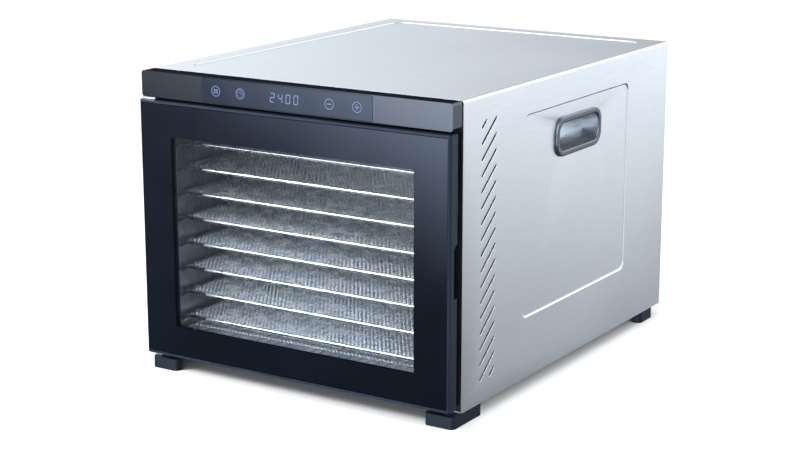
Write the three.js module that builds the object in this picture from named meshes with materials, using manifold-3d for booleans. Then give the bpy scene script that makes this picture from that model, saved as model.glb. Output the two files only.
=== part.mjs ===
// Countertop food dehydrator: steel cabinet, hinged glass door, eight wire trays, fan and heater.
// Millimetres. +X is right seen from the front, +Y is towards the back, +Z is up.
// The origin is the centre of the footprint, at the height of the surface the feet stand on.
import * as THREE from "three";
import { mergeVertices } from "three/addons/utils/BufferGeometryUtils.js";
import Module from "manifold-3d";

const wasm = await Module();
wasm.setup();

// ---------------------------------------------------------------- driving dimensions
const gap = 0.3; // between pieces that seat on each other
const over = 1; // how far a cutter reaches past the face it cuts
const sheet = 1; // outer steel sheet
const plate = 1.2; // inner plates and panels

const wrapWidth = 345;
const wrapDepth = 421;
const wrapHeight = 284;
const wrapBend = 2.5; // outer bend radius
const footHeight = 12;

const doorThickness = 15;
const doorSetback = 0.5; // door narrower than the wrap, each side
const doorGap = 6.5; // door's back to the wrap's front edge
const doorAboveWrapBottom = 6;
const doorEdgeRadius = 3;
const grilleProud = 7.5; // rear grille beyond the wrap

const fasciaHeight = 24.7;
const fasciaSetback = 1; // fascia narrower than the wrap, each side
const fasciaDoorGap = 2.5;
const fasciaStep = 4.5; // fascia's face behind the door's face
const fasciaWall = 4;
const fasciaSideWall = 3.5;

const panelWidth = 188.5;
const panelHeight = 22.9;
const panelShift = -4.75; // centre of the panel left of the middle
const panelThickness = 2.2;
const panelProud = 0.3;

const embossDepth = 1.1;
const embossSlope = 2.5;
const sideEmbossFront = 111; // behind the wrap's front edge
const sideEmbossBack = 92; // in front of the wrap's back edge
const sideEmbossTop = 30; // below the top
const sideEmbossBottom = 59.5; // above the wrap's bottom
const sideEmbossRadius = 8;
const topEmbossSide = 22.5;
const topEmbossFront = 27;
const topEmbossBack = 18;
const topEmbossRadius = 12;

const slotWidth = 2.2;
const slotRun = 25.9; // along the depth
const slotRise = 21.2;
const slotPitch = 14.55;
const slotFront = 32.3; // behind the wrap's front edge
const slotFieldTop = 23; // below the top
const slotFieldBottom = 21.5; // above the wrap's bottom

const bezelLength = 93;
const bezelHeight = 38;
const bezelRadius = 14;
const bezelThickness = 2.7;
const bezelTop = 43.5; // below the top
const bezelFront = 172.5; // behind the wrap's front edge
const gripLength = 83;
const gripHeight = 26.5;
const gripRadius = 11;
const cupWall = 2;
const cupDepth = 20;

const cavity = 22.5; // outer face of the wrap to the chamber
const chamberFloorRise = 24; // above the wrap's bottom
const chamberTopDrop = 18; // below the door's top
const motorSpace = 67.5; // rear wall of the fan chamber to the wrap's back edge
const fanSpace = 45; // depth of the fan chamber

const frameThickness = 3.7; // mouth frame
const rimDepth = 4.3; // gasket landing in front of the mouth frame
const rimWidth = 10.3;

const trayCount = 8;
const trayClearance = 2.5; // tray to chamber wall, each side
const trayFrontSpace = 2.2; // tray to mouth frame
const trayBackSpace = 2.7; // tray to air baffle
const firstTrayRise = 15.6; // lowest tray's rod above the chamber floor
const lastTrayDrop = 25.3; // highest tray's rod below the chamber ceiling
const trayRod = 3.6;
const trayCorner = 8;
const trayMesh = 0.8;
const railWidth = 5;
const railThickness = 1.5;
const dripHeight = 3;
const dripWall = 0.8;
const trayMeshInset = 0.5;
const trayMeshLap = 0.1; // mesh sunk into the rods it is welded to

const windowSide = 37; // door border beside the window
const windowTop = 33.5;
const windowBottom = 31;
const windowRebate = 10; // frame opening beyond the visible window
const glassThickness = 3;
const glassLip = 2.2; // door frame around the glass
const glassInset = 0.4;
const retainerThickness = 2.5;
const gasketWidth = 7;
const gasketThickness = 1.9;
const gasketEdge = 0.5; // gasket inside the retainer's edge

const recessHeight = 45.3; // finger recess in the door's edge
const recessBottom = 103; // above the door's bottom
const recessDepth = 12;
const recessThickness = 7.6;
const recessChamfer = 4.2;

const hingeInset = 7; // axis inside the door's edge
const hingeSetback = 8.5; // axis behind the door's face
const pinRadius = 2.5;
const pinLength = 20;
const hingePlate = 1.6;
const hingePlateWidth = 16;

const footArm = 12;
const footCorner = 4;
const frontFootX = 30.5;
const frontFootY = 52;
const rearFootX = 52;
const rearFootY = 30;
const footSetback = 0.5;
const frontFootReach = 14; // in front of the wrap
const rearFootInset = 15.5; // in front of the wrap's back edge

const shaftRadius = 4;
const impellerRadius = 60;
const impellerBlades = 10;
const bladeThickness = 1.4;
const bladeDepth = 22;
const heaterRadius = 78;
const heaterTube = 3.2;
const motorRadius = 34;
const motorLength = 40;
const motorFlange = { proud: 5, thickness: 3 };
const motorCap = { radius: 12, length: 6 };
const motorBracketPlate = { reach: 44, corner: 8, hole: 20, thickness: 1.6 };
const hub = { radius: 11, bladeGap: 12, backPlate: 1.4, lean: 28 };
const nut = { radius: 7.5, length: 6.5 };
const impellerSpace = 14; // air baffle to the impeller
const shaftSpace = 3; // air baffle to the shaft's tip
const shaftInMotor = 24;
const heaterSpace = 19; // air baffle to the heater ring
const heaterLeads = 9; // heater ring to the straight ends
const heaterTails = 8; // straight ends behind the fan wall
const heaterLeadGap = 1.2;
const heaterPostHalf = 6;
const cutout = { x: -72, rise: 55, radius: 9, length: 7, tabs: 4, tabHalf: 0.5, tabLength: 7, tabWide: 3 };
const probe = { side: 40, drop: 20, radius: 3, length: 16 };
const baffleSlot = { height: 3.6, margin: 14, side: 52, middle: 90, level: 0.45 };

const intake = { radius: 58, slot: 3.6, pitch: 13 };
const grille = { radius: 70, wall: 2.4 };
const gland = { x: -118, rise: 34, radius: 9, flange: 3, proud: 4, inside: 8, bore: 3.8 };
const baseFlange = 12;
const wirePass = { x0: 10, x1: 50, half: 6 }; // hole behind the fascia for the control wires

const boardSetback = 10; // fascia's face to the control board
const boardThickness = 1.6;
const controlBoardSize = { x0: -108, x1: 100, half: 8.5 };
const controlChips = { places: [-70, -20, 60], halfX: 6, halfZ: 5, height: 1.6 };
const touchX = [-83, -55, 44, 73.5];
const touchSpringRadius = 4;
const displaySize = { x: 62, z: 12.5 };
const windowInPanel = { x0: -95, x1: 86, half: 7 };
const powerX = 102;
const powerDrop = 36; // below the fan's axis
const powerStandoff = 18;
const powerBoardSize = { x: 80, z: 100, post: 5, postRadius: 3 };
const transformer = { x: -18, z: -24, width: 32, height: 34, depth: 27 };
const fanRelay = { x: 16, z: -28, width: 20, height: 16, depth: 16 };
const heaterRelay = { x: 16, z: -4, width: 20, height: 16, depth: 16 };
const capacitor = { x: -20, z: 22, width: 10, height: 24, depth: 18 };
const terminalStrip = { x: 4, z: 34, width: 34, height: 8, depth: 10 };
const controlWire = { radius: 2.4, x: 30, above: 8 };
const supplyWire = 2.8;

const magnet = { height: 30, drop: 60, edge: 4, width: 7, thickness: 5 };
const fasciaCorner = 2.5;
const fasciaShelf = 2.5; // thickness of the fascia's top and bottom walls
const panelCorner = 1.5;
const glassCorner = 1.5;
const windowCorner = 2;
const retainerCorner = 3;
const hingePlateShift = 1.5;
const hingePlateCorner = 2;
const hingePlateFront = 5;
const rearPanelInset = 0.1;
const cupCurve = { round: 4, upright: 10, pull: 1, sag: 2.5, lip: 5 };

// ---------------------------------------------------------------- places worked out from them
const half = wrapWidth / 2;
const totalDepth = doorThickness + doorGap + wrapDepth + grilleProud;
const doorFront = -totalDepth / 2;
const doorBack = doorFront + doorThickness;
const wrapFront = doorBack + doorGap;
const wrapBack = wrapFront + wrapDepth;
const wrapBottom = footHeight;
const wrapTop = wrapBottom + wrapHeight;

const fasciaTop = wrapTop - gap;
const fasciaBottom = fasciaTop - fasciaHeight;
const fasciaFront = doorFront + fasciaStep;
const fasciaHalf = half - fasciaSetback;
const fasciaBack = wrapFront - gap;
const panelFront = fasciaFront - panelProud;
const panelBack = panelFront + panelThickness;
const panelMiddle = (fasciaTop + fasciaBottom) / 2;

const doorTop = fasciaBottom - fasciaDoorGap;
const doorBottom = wrapBottom + doorAboveWrapBottom;
const doorHalf = half - doorSetback;
const windowHalf = doorHalf - windowSide;
const windowLow = doorBottom + windowBottom;
const windowHigh = doorTop - windowTop;
const glassFront = doorFront + glassInset;
const glassBack = glassFront + glassThickness;
const retainerFront = doorBack - retainerThickness;
const hingeX = -doorHalf + hingeInset;
const hingeY = doorFront + hingeSetback;

const frameFront = wrapFront + gap;
const frameBack = frameFront + frameThickness;
const rimFront = frameFront - rimDepth;

const chamberHalf = half - cavity;
const chamberFloor = wrapBottom + chamberFloorRise;
const chamberCeiling = doorTop - chamberTopDrop;
const chamberFront = frameBack + gap;
const fanWallFront = wrapBack - motorSpace;
const fanWallBack = fanWallFront + plate;
const baffleFront = fanWallFront - fanSpace;
const baffleBack = baffleFront + plate;
const fanAxisZ = (chamberFloor + chamberCeiling) / 2;
const retainerHalf = chamberHalf + gasketWidth;
const retainerLow = chamberFloor - gasketWidth;
const retainerHigh = chamberCeiling + gasketWidth;

const trayHalf = chamberHalf - trayClearance;
const trayFront = frameBack + trayFrontSpace;
const trayBack = baffleFront - trayBackSpace;
const firstTray = chamberFloor + firstTrayRise;
const trayPitch = (chamberCeiling - lastTrayDrop - firstTray) / (trayCount - 1);
const traySheetTop = -trayRod / 2 + trayMeshLap; // the mesh is welded under the rods
const traySheetBottom = traySheetTop - trayMesh;

const recessedFace = half - embossDepth;
const bezelY = wrapFront + bezelFront + bezelLength / 2;
const bezelZ = wrapTop - bezelTop - bezelHeight / 2;
const cupLength = gripLength + 2 * cupWall;
const cupHeight = gripHeight + 2 * cupWall;

// ---------------------------------------------------------------- materials
const finish = (color, roughness, metalness) =>
  new THREE.MeshStandardMaterial({ color, roughness, metalness });
const steel = finish(0xccd3da, 0.34, 0.9);
const chamberSteel = finish(0x4a5560, 0.45, 0.8);
const zincSteel = finish(0xb4bac0, 0.4, 0.9);
const wireSteel = finish(0xd8dde2, 0.25, 1);
const darkPlastic = finish(0x4c5868, 0.6, 0);
const blackPlastic = finish(0x1c222a, 0.4, 0);
const footPlastic = finish(0x262d36, 0.7, 0);
const greyPlastic = finish(0x9aa1a9, 0.55, 0);
const clearGlass = finish(0x8a98a6, 0.05, 0);
const panelGlass = finish(0x141c28, 0.08, 0);
const rubber = finish(0x15181c, 0.8, 0);
const circuitBoard = finish(0x1f5a3a, 0.6, 0);
const displayBlue = finish(0x6f7fd8, 0.4, 0);
const castMetal = finish(0x777d83, 0.5, 0.7);
const whiteCeramic = finish(0xe6e2d8, 0.6, 0);
const copper = finish(0xb87344, 0.35, 1);

// ---------------------------------------------------------------- shape helpers
// A closed geometry as a solid for joining and cutting.
function toSolid(geometry) {
  const bare = geometry.clone();
  bare.deleteAttribute("normal");
  bare.deleteAttribute("uv");
  const merged = mergeVertices(bare, 1e-4);
  const vertProperties = new Float32Array(merged.attributes.position.array);
  const triVerts = new Uint32Array(merged.index.array);
  return new wasm.Manifold(new wasm.Mesh({ numProp: 3, vertProperties, triVerts }));
}

function toGeometry(solid) {
  const { numProp, vertProperties, triVerts, numVert } = solid.getMesh();
  const points = new Float32Array(numVert * 3);
  for (let i = 0; i < numVert; i++) {
    points.set(vertProperties.subarray(i * numProp, i * numProp + 3), i * 3);
  }
  const geometry = new THREE.BufferGeometry();
  geometry.setAttribute("position", new THREE.BufferAttribute(points, 3));
  geometry.setIndex(new THREE.BufferAttribute(new Uint32Array(triVerts), 1));
  geometry.computeVertexNormals();
  return geometry;
}

// A named sub-part from a solid or a plain geometry.
function piece(name, shape, material) {
  const geometry = shape.isBufferGeometry ? shape : toGeometry(shape);
  const mesh = new THREE.Mesh(geometry, material);
  mesh.name = name;
  return mesh;
}

function box(x0, x1, y0, y1, z0, z1) {
  const geometry = new THREE.BoxGeometry(x1 - x0, y1 - y0, z1 - z0);
  geometry.translate((x0 + x1) / 2, (y0 + y1) / 2, (z0 + z1) / 2);
  return toSolid(geometry);
}

function roundedRect(u0, u1, v0, v1, r) {
  const shape = new THREE.Shape();
  shape.moveTo(u0 + r, v0);
  shape.lineTo(u1 - r, v0);
  shape.absarc(u1 - r, v0 + r, r, -Math.PI / 2, 0);
  shape.lineTo(u1, v1 - r);
  shape.absarc(u1 - r, v1 - r, r, 0, Math.PI / 2);
  shape.lineTo(u0 + r, v1);
  shape.absarc(u0 + r, v1 - r, r, Math.PI / 2, Math.PI);
  shape.lineTo(u0, v0 + r);
  shape.absarc(u0 + r, v0 + r, r, Math.PI, 1.5 * Math.PI);
  return shape;
}

function circle(u, v, r) {
  const shape = new THREE.Shape();
  shape.absarc(u, v, r, 0, 2 * Math.PI);
  return shape;
}

// A stadium outline from one end centre to the other.
function stadium(u0, v0, u1, v1, width) {
  const angle = Math.atan2(v1 - v0, u1 - u0);
  const shape = new THREE.Shape();
  shape.absarc(u1, v1, width / 2, angle - Math.PI / 2, angle + Math.PI / 2);
  shape.absarc(u0, v0, width / 2, angle + Math.PI / 2, angle + 1.5 * Math.PI);
  return shape;
}

const axes = {
  x: new THREE.Vector3(1, 0, 0),
  y: new THREE.Vector3(0, 1, 0),
  z: new THREE.Vector3(0, 0, 1),
  minusY: new THREE.Vector3(0, -1, 0),
};
const onto = (u, v, w) => new THREE.Matrix4().makeBasis(u, v, w);

function extrude(shape, length, curveSegments, bevel = {}) {
  const plain = { depth: length, curveSegments, bevelEnabled: false };
  return new THREE.ExtrudeGeometry(shape, { ...plain, ...bevel });
}

// Outline in (y, z), swept along +X.
function alongX(shape, x0, x1, curveSegments = 2) {
  const geometry = extrude(shape, x1 - x0, curveSegments);
  geometry.applyMatrix4(onto(axes.y, axes.z, axes.x)).translate(x0, 0, 0);
  return toSolid(geometry);
}

// Outline in (x, z), swept along Y.
function alongY(shape, y0, y1, curveSegments = 2) {
  const geometry = extrude(shape, y1 - y0, curveSegments);
  geometry.applyMatrix4(onto(axes.x, axes.z, axes.minusY)).translate(0, y1, 0);
  return toSolid(geometry);
}

// Outline in (x, y), swept along +Z.
function alongZ(shape, z0, z1, curveSegments = 2) {
  return toSolid(extrude(shape, z1 - z0, curveSegments).translate(0, 0, z0));
}

const rodAlongY = (x, z, r, y0, y1, segments = 10) =>
  alongY(circle(x, z, r), y0, y1, segments);

function tube(points, radius, steps, sides) {
  const path = new THREE.CatmullRomCurve3(points, false, "centripetal");
  const section = new THREE.Shape();
  section.absarc(0, 0, radius, 0, 2 * Math.PI);
  return new THREE.ExtrudeGeometry(section, {
    steps,
    extrudePath: path,
    curveSegments: sides / 2,
  });
}

const union = (solids) => solids.reduce((joined, solid) => joined.add(solid));

// ---------------------------------------------------------------- cabinet shell
// Cutter for a pressed-in field: the floor outline, widening by the slope towards the outer face.
function embossCutter(shape) {
  return extrude(shape, bezelThickness + embossDepth, 2, {
    bevelEnabled: true,
    bevelThickness: embossDepth,
    bevelSize: embossSlope,
    bevelSegments: 1,
  });
}

// Outline in (y, z), or in (y, -z) for the cutter that presses in from the -X side.
function sideEmbossOutline(grow, side = 1) {
  const y0 = wrapFront + sideEmbossFront - grow;
  const y1 = wrapBack - sideEmbossBack + grow;
  const z0 = wrapBottom + sideEmbossBottom - grow;
  const z1 = wrapTop - sideEmbossTop + grow;
  const low = side > 0 ? z0 : -z1;
  const high = side > 0 ? z1 : -z0;
  return roundedRect(y0, y1, low, high, sideEmbossRadius + grow);
}

function topEmbossOutline(grow) {
  const x = half - topEmbossSide + grow;
  const y0 = wrapFront + topEmbossFront - grow;
  const y1 = wrapBack - topEmbossBack + grow;
  return roundedRect(-x, x, y0, y1, topEmbossRadius + grow);
}

function sideEmbossCutter(side) {
  const cutter = embossCutter(sideEmbossOutline(-embossSlope, side));
  const z = axes.z.clone().multiplyScalar(side);
  const x = axes.x.clone().multiplyScalar(side);
  cutter.applyMatrix4(onto(axes.y, z, x));
  return toSolid(cutter.translate(side * half, 0, 0));
}

// The pressed-in metal behind the field.
function sideEmbossBacking(side) {
  const inner = side * (recessedFace - sheet);
  const outer = side * (half - sheet / 2);
  const outline = sideEmbossOutline(embossSlope);
  return alongX(outline, Math.min(inner, outer), Math.max(inner, outer));
}

// Slanted vent slots: a column of parallel slots, the end ones shortened by the field's edges.
function ventSlots() {
  const low = wrapBottom + slotFieldBottom;
  const high = wrapTop - slotFieldTop;
  const y0 = wrapFront + slotFront;
  const shift = slotRun / slotRise;
  const slots = [];
  const first = high - slotRise + slotPitch;
  const shortest = 2 * slotWidth;
  for (let start = first; start + slotRise > low + shortest; start -= slotPitch) {
    const z0 = Math.max(start, low);
    const z1 = Math.min(start + slotRise, high);
    const yA = y0 + (z0 - start) * shift;
    const yB = y0 + (z1 - start) * shift;
    slots.push(alongX(stadium(yA, z0, yB, z1, slotWidth), -half - sheet, half + sheet, 1));
  }
  return union(slots);
}

function outerWrap() {
  const profile = new THREE.Shape();
  const arcZ = wrapTop - wrapBend;
  const arcX = half - wrapBend;
  profile.moveTo(half, wrapBottom);
  profile.absarc(arcX, arcZ, wrapBend, 0, Math.PI / 2);
  profile.absarc(-arcX, arcZ, wrapBend, Math.PI / 2, Math.PI);
  profile.lineTo(-half, wrapBottom);
  profile.lineTo(-half + sheet, wrapBottom);
  profile.absarc(-arcX, arcZ, wrapBend - sheet, Math.PI, Math.PI / 2, true);
  profile.absarc(arcX, arcZ, wrapBend - sheet, Math.PI / 2, 0, true);
  profile.lineTo(half - sheet, wrapBottom);
  let wrap = alongY(profile, wrapFront, wrapBack);

  for (const side of [1, -1]) {
    wrap = wrap.add(sideEmbossBacking(side)).subtract(sideEmbossCutter(side));
  }
  const topCutter = embossCutter(topEmbossOutline(-embossSlope));
  topCutter.translate(0, 0, wrapTop);
  const backing = alongZ(
    topEmbossOutline(embossSlope),
    wrapTop - embossDepth - sheet,
    wrapTop - sheet / 2,
  );
  wrap = wrap.add(backing).subtract(toSolid(topCutter));

  const cutout = roundedRect(
    bezelY - cupLength / 2 - gap,
    bezelY + cupLength / 2 + gap,
    bezelZ - cupHeight / 2 - gap,
    bezelZ + cupHeight / 2 + gap,
    gripRadius,
  );
  return wrap.subtract(alongX(cutout, -half - sheet, half + sheet)).subtract(ventSlots());
}

function basePan() {
  const inside = half - sheet - gap;
  const bottom = box(-inside, inside, frameFront, wrapBack - gap, wrapBottom, wrapBottom + plate);
  const parts = [bottom];
  for (const side of [1, -1]) {
    const x = side * (inside - plate / 2);
    parts.push(
      box(
        x - plate / 2,
        x + plate / 2,
        chamberFront,
        wrapBack - 2 * gap - plate,
        wrapBottom,
        wrapBottom + baseFlange,
      ),
    );
  }
  return union(parts);
}

const rearPanelBack = wrapBack - rearPanelInset;
const rearPanelFront = rearPanelBack - plate;
const glandZ = wrapBottom + gland.rise;

// Upright slots inside a circle around the fan's axis.
function intakeSlots(y0, y1, radius) {
  const slots = [];
  const count = Math.floor(radius / intake.pitch);
  for (let i = -count; i <= count; i++) {
    const x = i * intake.pitch;
    const reach = Math.sqrt(radius ** 2 - x ** 2) - intake.slot;
    if (reach < intake.pitch) continue;
    slots.push(
      alongY(stadium(x, fanAxisZ - reach, x, fanAxisZ + reach, intake.slot), y0, y1, 1),
    );
  }
  return union(slots);
}

// Outline of a panel that closes an end of the wrap, standing on the base pan.
function endOutline() {
  const inside = half - sheet - gap;
  const low = wrapBottom + plate + gap;
  return roundedRect(-inside, inside, low, wrapTop - sheet - gap, wrapBend);
}

function rearPanel() {
  const panel = alongY(endOutline(), rearPanelFront, rearPanelBack);
  const y0 = rearPanelFront - over;
  const y1 = rearPanelBack + over;
  const glandHole = rodAlongY(gland.x, glandZ, gland.radius, y0, y1, 6);
  const slots = intakeSlots(y0, y1, intake.radius);
  return panel.subtract(glandHole).subtract(slots);
}

function rearGrille() {
  const back = wrapBack + grilleProud;
  const front = wrapBack + gap;
  const inside = back - grille.wall;
  const disc = rodAlongY(0, fanAxisZ, grille.radius, front, back, 16);
  const hollow = rodAlongY(0, fanAxisZ, grille.radius - grille.wall, front - over, inside, 16);
  return disc.subtract(hollow).subtract(intakeSlots(inside - over, back + over, intake.radius));
}

// Round gland with a hexagon nut inside the panel, for the mains cord.
function cableGland() {
  const back = wrapBack + gland.proud;
  const front = rearPanelFront - gland.inside;
  const wide = gland.radius + gland.flange;
  const flange = rodAlongY(gland.x, glandZ, wide, rearPanelBack + gap, back, 6);
  const sleeve = rodAlongY(gland.x, glandZ, gland.radius - gap, front, back, 6);
  const bore = rodAlongY(gland.x, glandZ, gland.bore, front - over, back + over, 6);
  return flange.add(sleeve).subtract(bore);
}

// ---------------------------------------------------------------- mouth frame and chamber
function mouthFrame() {
  const rimHalf = chamberHalf + rimWidth;
  const full = alongY(endOutline(), frameFront, frameBack);
  const landing = box(
    -rimHalf,
    rimHalf,
    rimFront,
    frameBack,
    chamberFloor - rimWidth,
    chamberCeiling + rimWidth,
  );
  const mouth = box(
    -chamberHalf + gap,
    chamberHalf - gap,
    rimFront - over,
    frameBack + over,
    chamberFloor + gap,
    chamberCeiling - gap,
  );
  const hole = box(
    wirePass.x0,
    wirePass.x1,
    frameFront - over,
    frameBack + over,
    panelMiddle - wirePass.half,
    panelMiddle + wirePass.half,
  );
  return full.add(landing).subtract(mouth).subtract(hole);
}

function chamberWall(side) {
  const face = side * chamberHalf;
  const outer = side * (chamberHalf + plate);
  const railEdge = side * (chamberHalf - railWidth);
  const z0 = chamberFloor + gap;
  const z1 = chamberCeiling - gap;
  const back = fanWallFront - gap;
  const parts = [
    box(Math.min(face, outer), Math.max(face, outer), chamberFront, back, z0, z1),
  ];
  for (let i = 0; i < trayCount; i++) {
    const top = firstTray + i * trayPitch + traySheetBottom - gap;
    parts.push(
      box(
        Math.min(outer, railEdge),
        Math.max(outer, railEdge),
        chamberFront + gap,
        baffleFront - gap,
        top - railThickness,
        top,
      ),
    );
  }
  return union(parts);
}

function chamberDeck(z0, z1) {
  const x = chamberHalf + plate;
  return box(-x, x, chamberFront, fanWallFront - gap, z0, z1);
}

// Air baffle: a row of three slots behind each tray space.
function airBaffle() {
  const x = chamberHalf - gap;
  const edge = chamberHalf - baffleSlot.margin;
  const columns = [
    [-edge, -edge + baffleSlot.side],
    [-baffleSlot.middle / 2, baffleSlot.middle / 2],
    [edge - baffleSlot.side, edge],
  ];
  const cuts = [];
  for (let i = 0; i < trayCount; i++) {
    const z = firstTray + (i + baffleSlot.level) * trayPitch;
    for (const [u0, u1] of columns) {
      const slot = stadium(u0, z, u1, z, baffleSlot.height);
      cuts.push(alongY(slot, baffleFront - over, baffleBack + over, 1));
    }
  }
  const sheetSolid = box(-x, x, baffleFront, baffleBack, chamberFloor + gap, chamberCeiling - gap);
  return sheetSolid.subtract(union(cuts));
}

const heaterStart = THREE.MathUtils.degToRad(-75);
const heaterEnd = THREE.MathUtils.degToRad(255);
const heaterY = baffleBack + heaterSpace;
const heaterPoint = (angle, y) =>
  new THREE.Vector3(heaterRadius * Math.cos(angle), y, fanAxisZ + heaterRadius * Math.sin(angle));

function fanWall() {
  const x = chamberHalf + plate;
  const wall = box(-x, x, fanWallFront, fanWallBack, chamberFloor - plate, chamberCeiling + plate);
  const y0 = fanWallFront - over;
  const y1 = fanWallBack + over;
  const shaftHole = rodAlongY(0, fanAxisZ, 3 * shaftRadius, y0, y1, 8);
  const leadHoles = [heaterStart, heaterEnd].map((angle) => {
    const at = heaterPoint(angle, 0);
    return rodAlongY(at.x, at.z, heaterTube + heaterLeadGap, y0, y1, 6);
  });
  return leadHoles.reduce((cut, hole) => cut.subtract(hole), wall.subtract(shaftHole));
}

// Ring of sheathed heating element around the impeller, its two ends passing through the fan wall.
function heaterCoil() {
  const steps = 14;
  const turnIn = THREE.MathUtils.degToRad(9);
  const bend = heaterY + heaterLeads;
  const tail = fanWallBack + heaterTails;
  const points = [heaterPoint(heaterStart, tail), heaterPoint(heaterStart, bend)];
  for (let i = 0; i <= steps; i++) {
    const angle = THREE.MathUtils.lerp(heaterStart + turnIn, heaterEnd - turnIn, i / steps);
    points.push(heaterPoint(angle, heaterY));
  }
  points.push(heaterPoint(heaterEnd, bend), heaterPoint(heaterEnd, tail));
  return tube(points, heaterTube, 56, 8);
}

function heaterPost(angle) {
  const at = heaterPoint(angle, 0);
  return box(
    at.x - heaterPostHalf,
    at.x + heaterPostHalf,
    heaterY + heaterTube + gap,
    fanWallFront - gap,
    at.z - heaterPostHalf,
    at.z + heaterPostHalf,
  );
}

function thermalCutout() {
  const z = fanAxisZ + cutout.rise;
  const face = fanWallBack + gap;
  const cap = face + cutout.length;
  const body = rodAlongY(cutout.x, z, cutout.radius, face, cap, 6);
  const tabs = [-cutout.tabs, cutout.tabs].map((dx) => {
    const x = cutout.x + dx;
    const z0 = z - cutout.tabWide;
    const z1 = z + cutout.tabWide;
    return box(x - cutout.tabHalf, x + cutout.tabHalf, cap - over, cap + cutout.tabLength, z0, z1);
  });
  return union([body, ...tabs]);
}

function temperatureProbe() {
  const x = chamberHalf - probe.side;
  const z = chamberCeiling - probe.drop;
  return rodAlongY(x, z, probe.radius, baffleBack + gap, baffleBack + probe.length, 5);
}

// ---------------------------------------------------------------- fan
const hubFront = baffleBack + impellerSpace;
const hubBack = hubFront + bladeDepth;
const shaftFront = baffleBack + shaftSpace;
const motorPlateBack = fanWallBack + gap + motorBracketPlate.thickness;
const motorFace = motorPlateBack + gap;
const shaftBack = motorFace + shaftInMotor;

function impeller() {
  const disc = rodAlongY(0, fanAxisZ, impellerRadius, hubBack - hub.backPlate, hubBack, 12);
  const core = rodAlongY(0, fanAxisZ, hub.radius, hubFront, hubBack, 8);
  const bladeStart = hub.radius + hub.bladeGap;
  const bladeLength = impellerRadius - bladeStart;
  const bladeLean = THREE.MathUtils.degToRad(hub.lean);
  const blades = [];
  for (let i = 0; i < impellerBlades; i++) {
    const blade = new THREE.BoxGeometry(bladeLength, bladeDepth - 1, bladeThickness);
    blade.translate(bladeLength / 2, (hubFront + hubBack - 1) / 2, 0).rotateY(bladeLean);
    blade.translate(bladeStart, 0, 0).rotateY((2 * Math.PI * i) / impellerBlades);
    blades.push(toSolid(blade.translate(0, 0, fanAxisZ)));
  }
  const bore = rodAlongY(0, fanAxisZ, shaftRadius + gap, hubFront - over, hubBack + over, 6);
  const rim = rodAlongY(0, fanAxisZ, impellerRadius, hubFront - over, hubBack + over, 12);
  return union([disc, core, ...blades]).intersect(rim).subtract(bore);
}

function impellerNut() {
  const corners = [];
  for (let i = 0; i < 6; i++) {
    const corner = new THREE.Vector2(nut.radius, 0);
    corner.rotateAround(new THREE.Vector2(), (i * Math.PI) / 3);
    corners.push(corner.add(new THREE.Vector2(0, fanAxisZ)));
  }
  const y1 = hubFront - gap;
  const y0 = y1 - nut.length;
  const bore = rodAlongY(0, fanAxisZ, shaftRadius + gap, y0 - over, y1 + over, 6);
  return alongY(new THREE.Shape(corners), y0, y1).subtract(bore);
}

function motorBracket() {
  const { reach, corner, hole } = motorBracketPlate;
  const face = fanWallBack + gap;
  const outline = roundedRect(-reach, reach, fanAxisZ - reach, fanAxisZ + reach, corner);
  const opening = rodAlongY(0, fanAxisZ, hole, face - over, motorPlateBack + over, 8);
  return alongY(outline, face, motorPlateBack).subtract(opening);
}

function fanMotor() {
  const back = motorFace + motorLength;
  const flangeBack = motorFace + motorFlange.thickness;
  const flange = rodAlongY(0, fanAxisZ, motorRadius + motorFlange.proud, motorFace, flangeBack, 12);
  const body = rodAlongY(0, fanAxisZ, motorRadius, motorFace, back, 12);
  const cap = rodAlongY(0, fanAxisZ, motorCap.radius, back - over, back + motorCap.length, 8);
  const bore = rodAlongY(0, fanAxisZ, shaftRadius + gap, motorFace - over, shaftBack + gap, 6);
  return union([flange, body, cap]).subtract(bore);
}

// ---------------------------------------------------------------- electronics
const boardFront = fasciaFront + boardSetback;
const boardBack = boardFront + boardThickness;

function fascia() {
  const outline = roundedRect(-fasciaHalf, fasciaHalf, fasciaBottom, fasciaTop, fasciaCorner);
  const block = alongY(outline, fasciaFront, fasciaBack);
  const hollow = box(
    -fasciaHalf + fasciaSideWall,
    fasciaHalf - fasciaSideWall,
    fasciaFront + fasciaWall,
    fasciaBack + over,
    fasciaBottom + fasciaShelf,
    fasciaTop - fasciaShelf,
  );
  const pocket = alongY(panelOutline(gap), fasciaFront - over, panelBack + gap);
  const opening = box(
    windowInPanel.x0,
    windowInPanel.x1,
    fasciaFront,
    fasciaFront + fasciaWall + over,
    panelMiddle - windowInPanel.half,
    panelMiddle + windowInPanel.half,
  );
  return block.subtract(hollow).subtract(pocket).subtract(opening);
}

function panelOutline(grow) {
  const u = panelWidth / 2 + grow;
  const v = panelHeight / 2 + grow;
  const x = panelShift;
  return roundedRect(x - u, x + u, panelMiddle - v, panelMiddle + v, panelCorner);
}

const displayPanel = () => alongY(panelOutline(0), panelFront, panelBack);

function displayModule() {
  return box(
    panelShift - displaySize.x / 2,
    panelShift + displaySize.x / 2,
    panelBack + gap,
    boardFront - gap,
    panelMiddle - displaySize.z / 2,
    panelMiddle + displaySize.z / 2,
  );
}

const touchSpring = (x) =>
  rodAlongY(x, panelMiddle, touchSpringRadius, panelBack + gap, boardFront - gap, 5);

function controlBoard() {
  const { x0, x1, half: halfZ } = controlBoardSize;
  const board = box(x0, x1, boardFront, boardBack, panelMiddle - halfZ, panelMiddle + halfZ);
  const chips = controlChips.places.map((x) =>
    box(
      x - controlChips.halfX,
      x + controlChips.halfX,
      boardBack - boardThickness / 2,
      boardBack + controlChips.height,
      panelMiddle - controlChips.halfZ,
      panelMiddle + controlChips.halfZ,
    ),
  );
  return union([board, ...chips]);
}

const powerZ = fanAxisZ - powerDrop;
const powerY = fanWallBack + powerStandoff;

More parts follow.
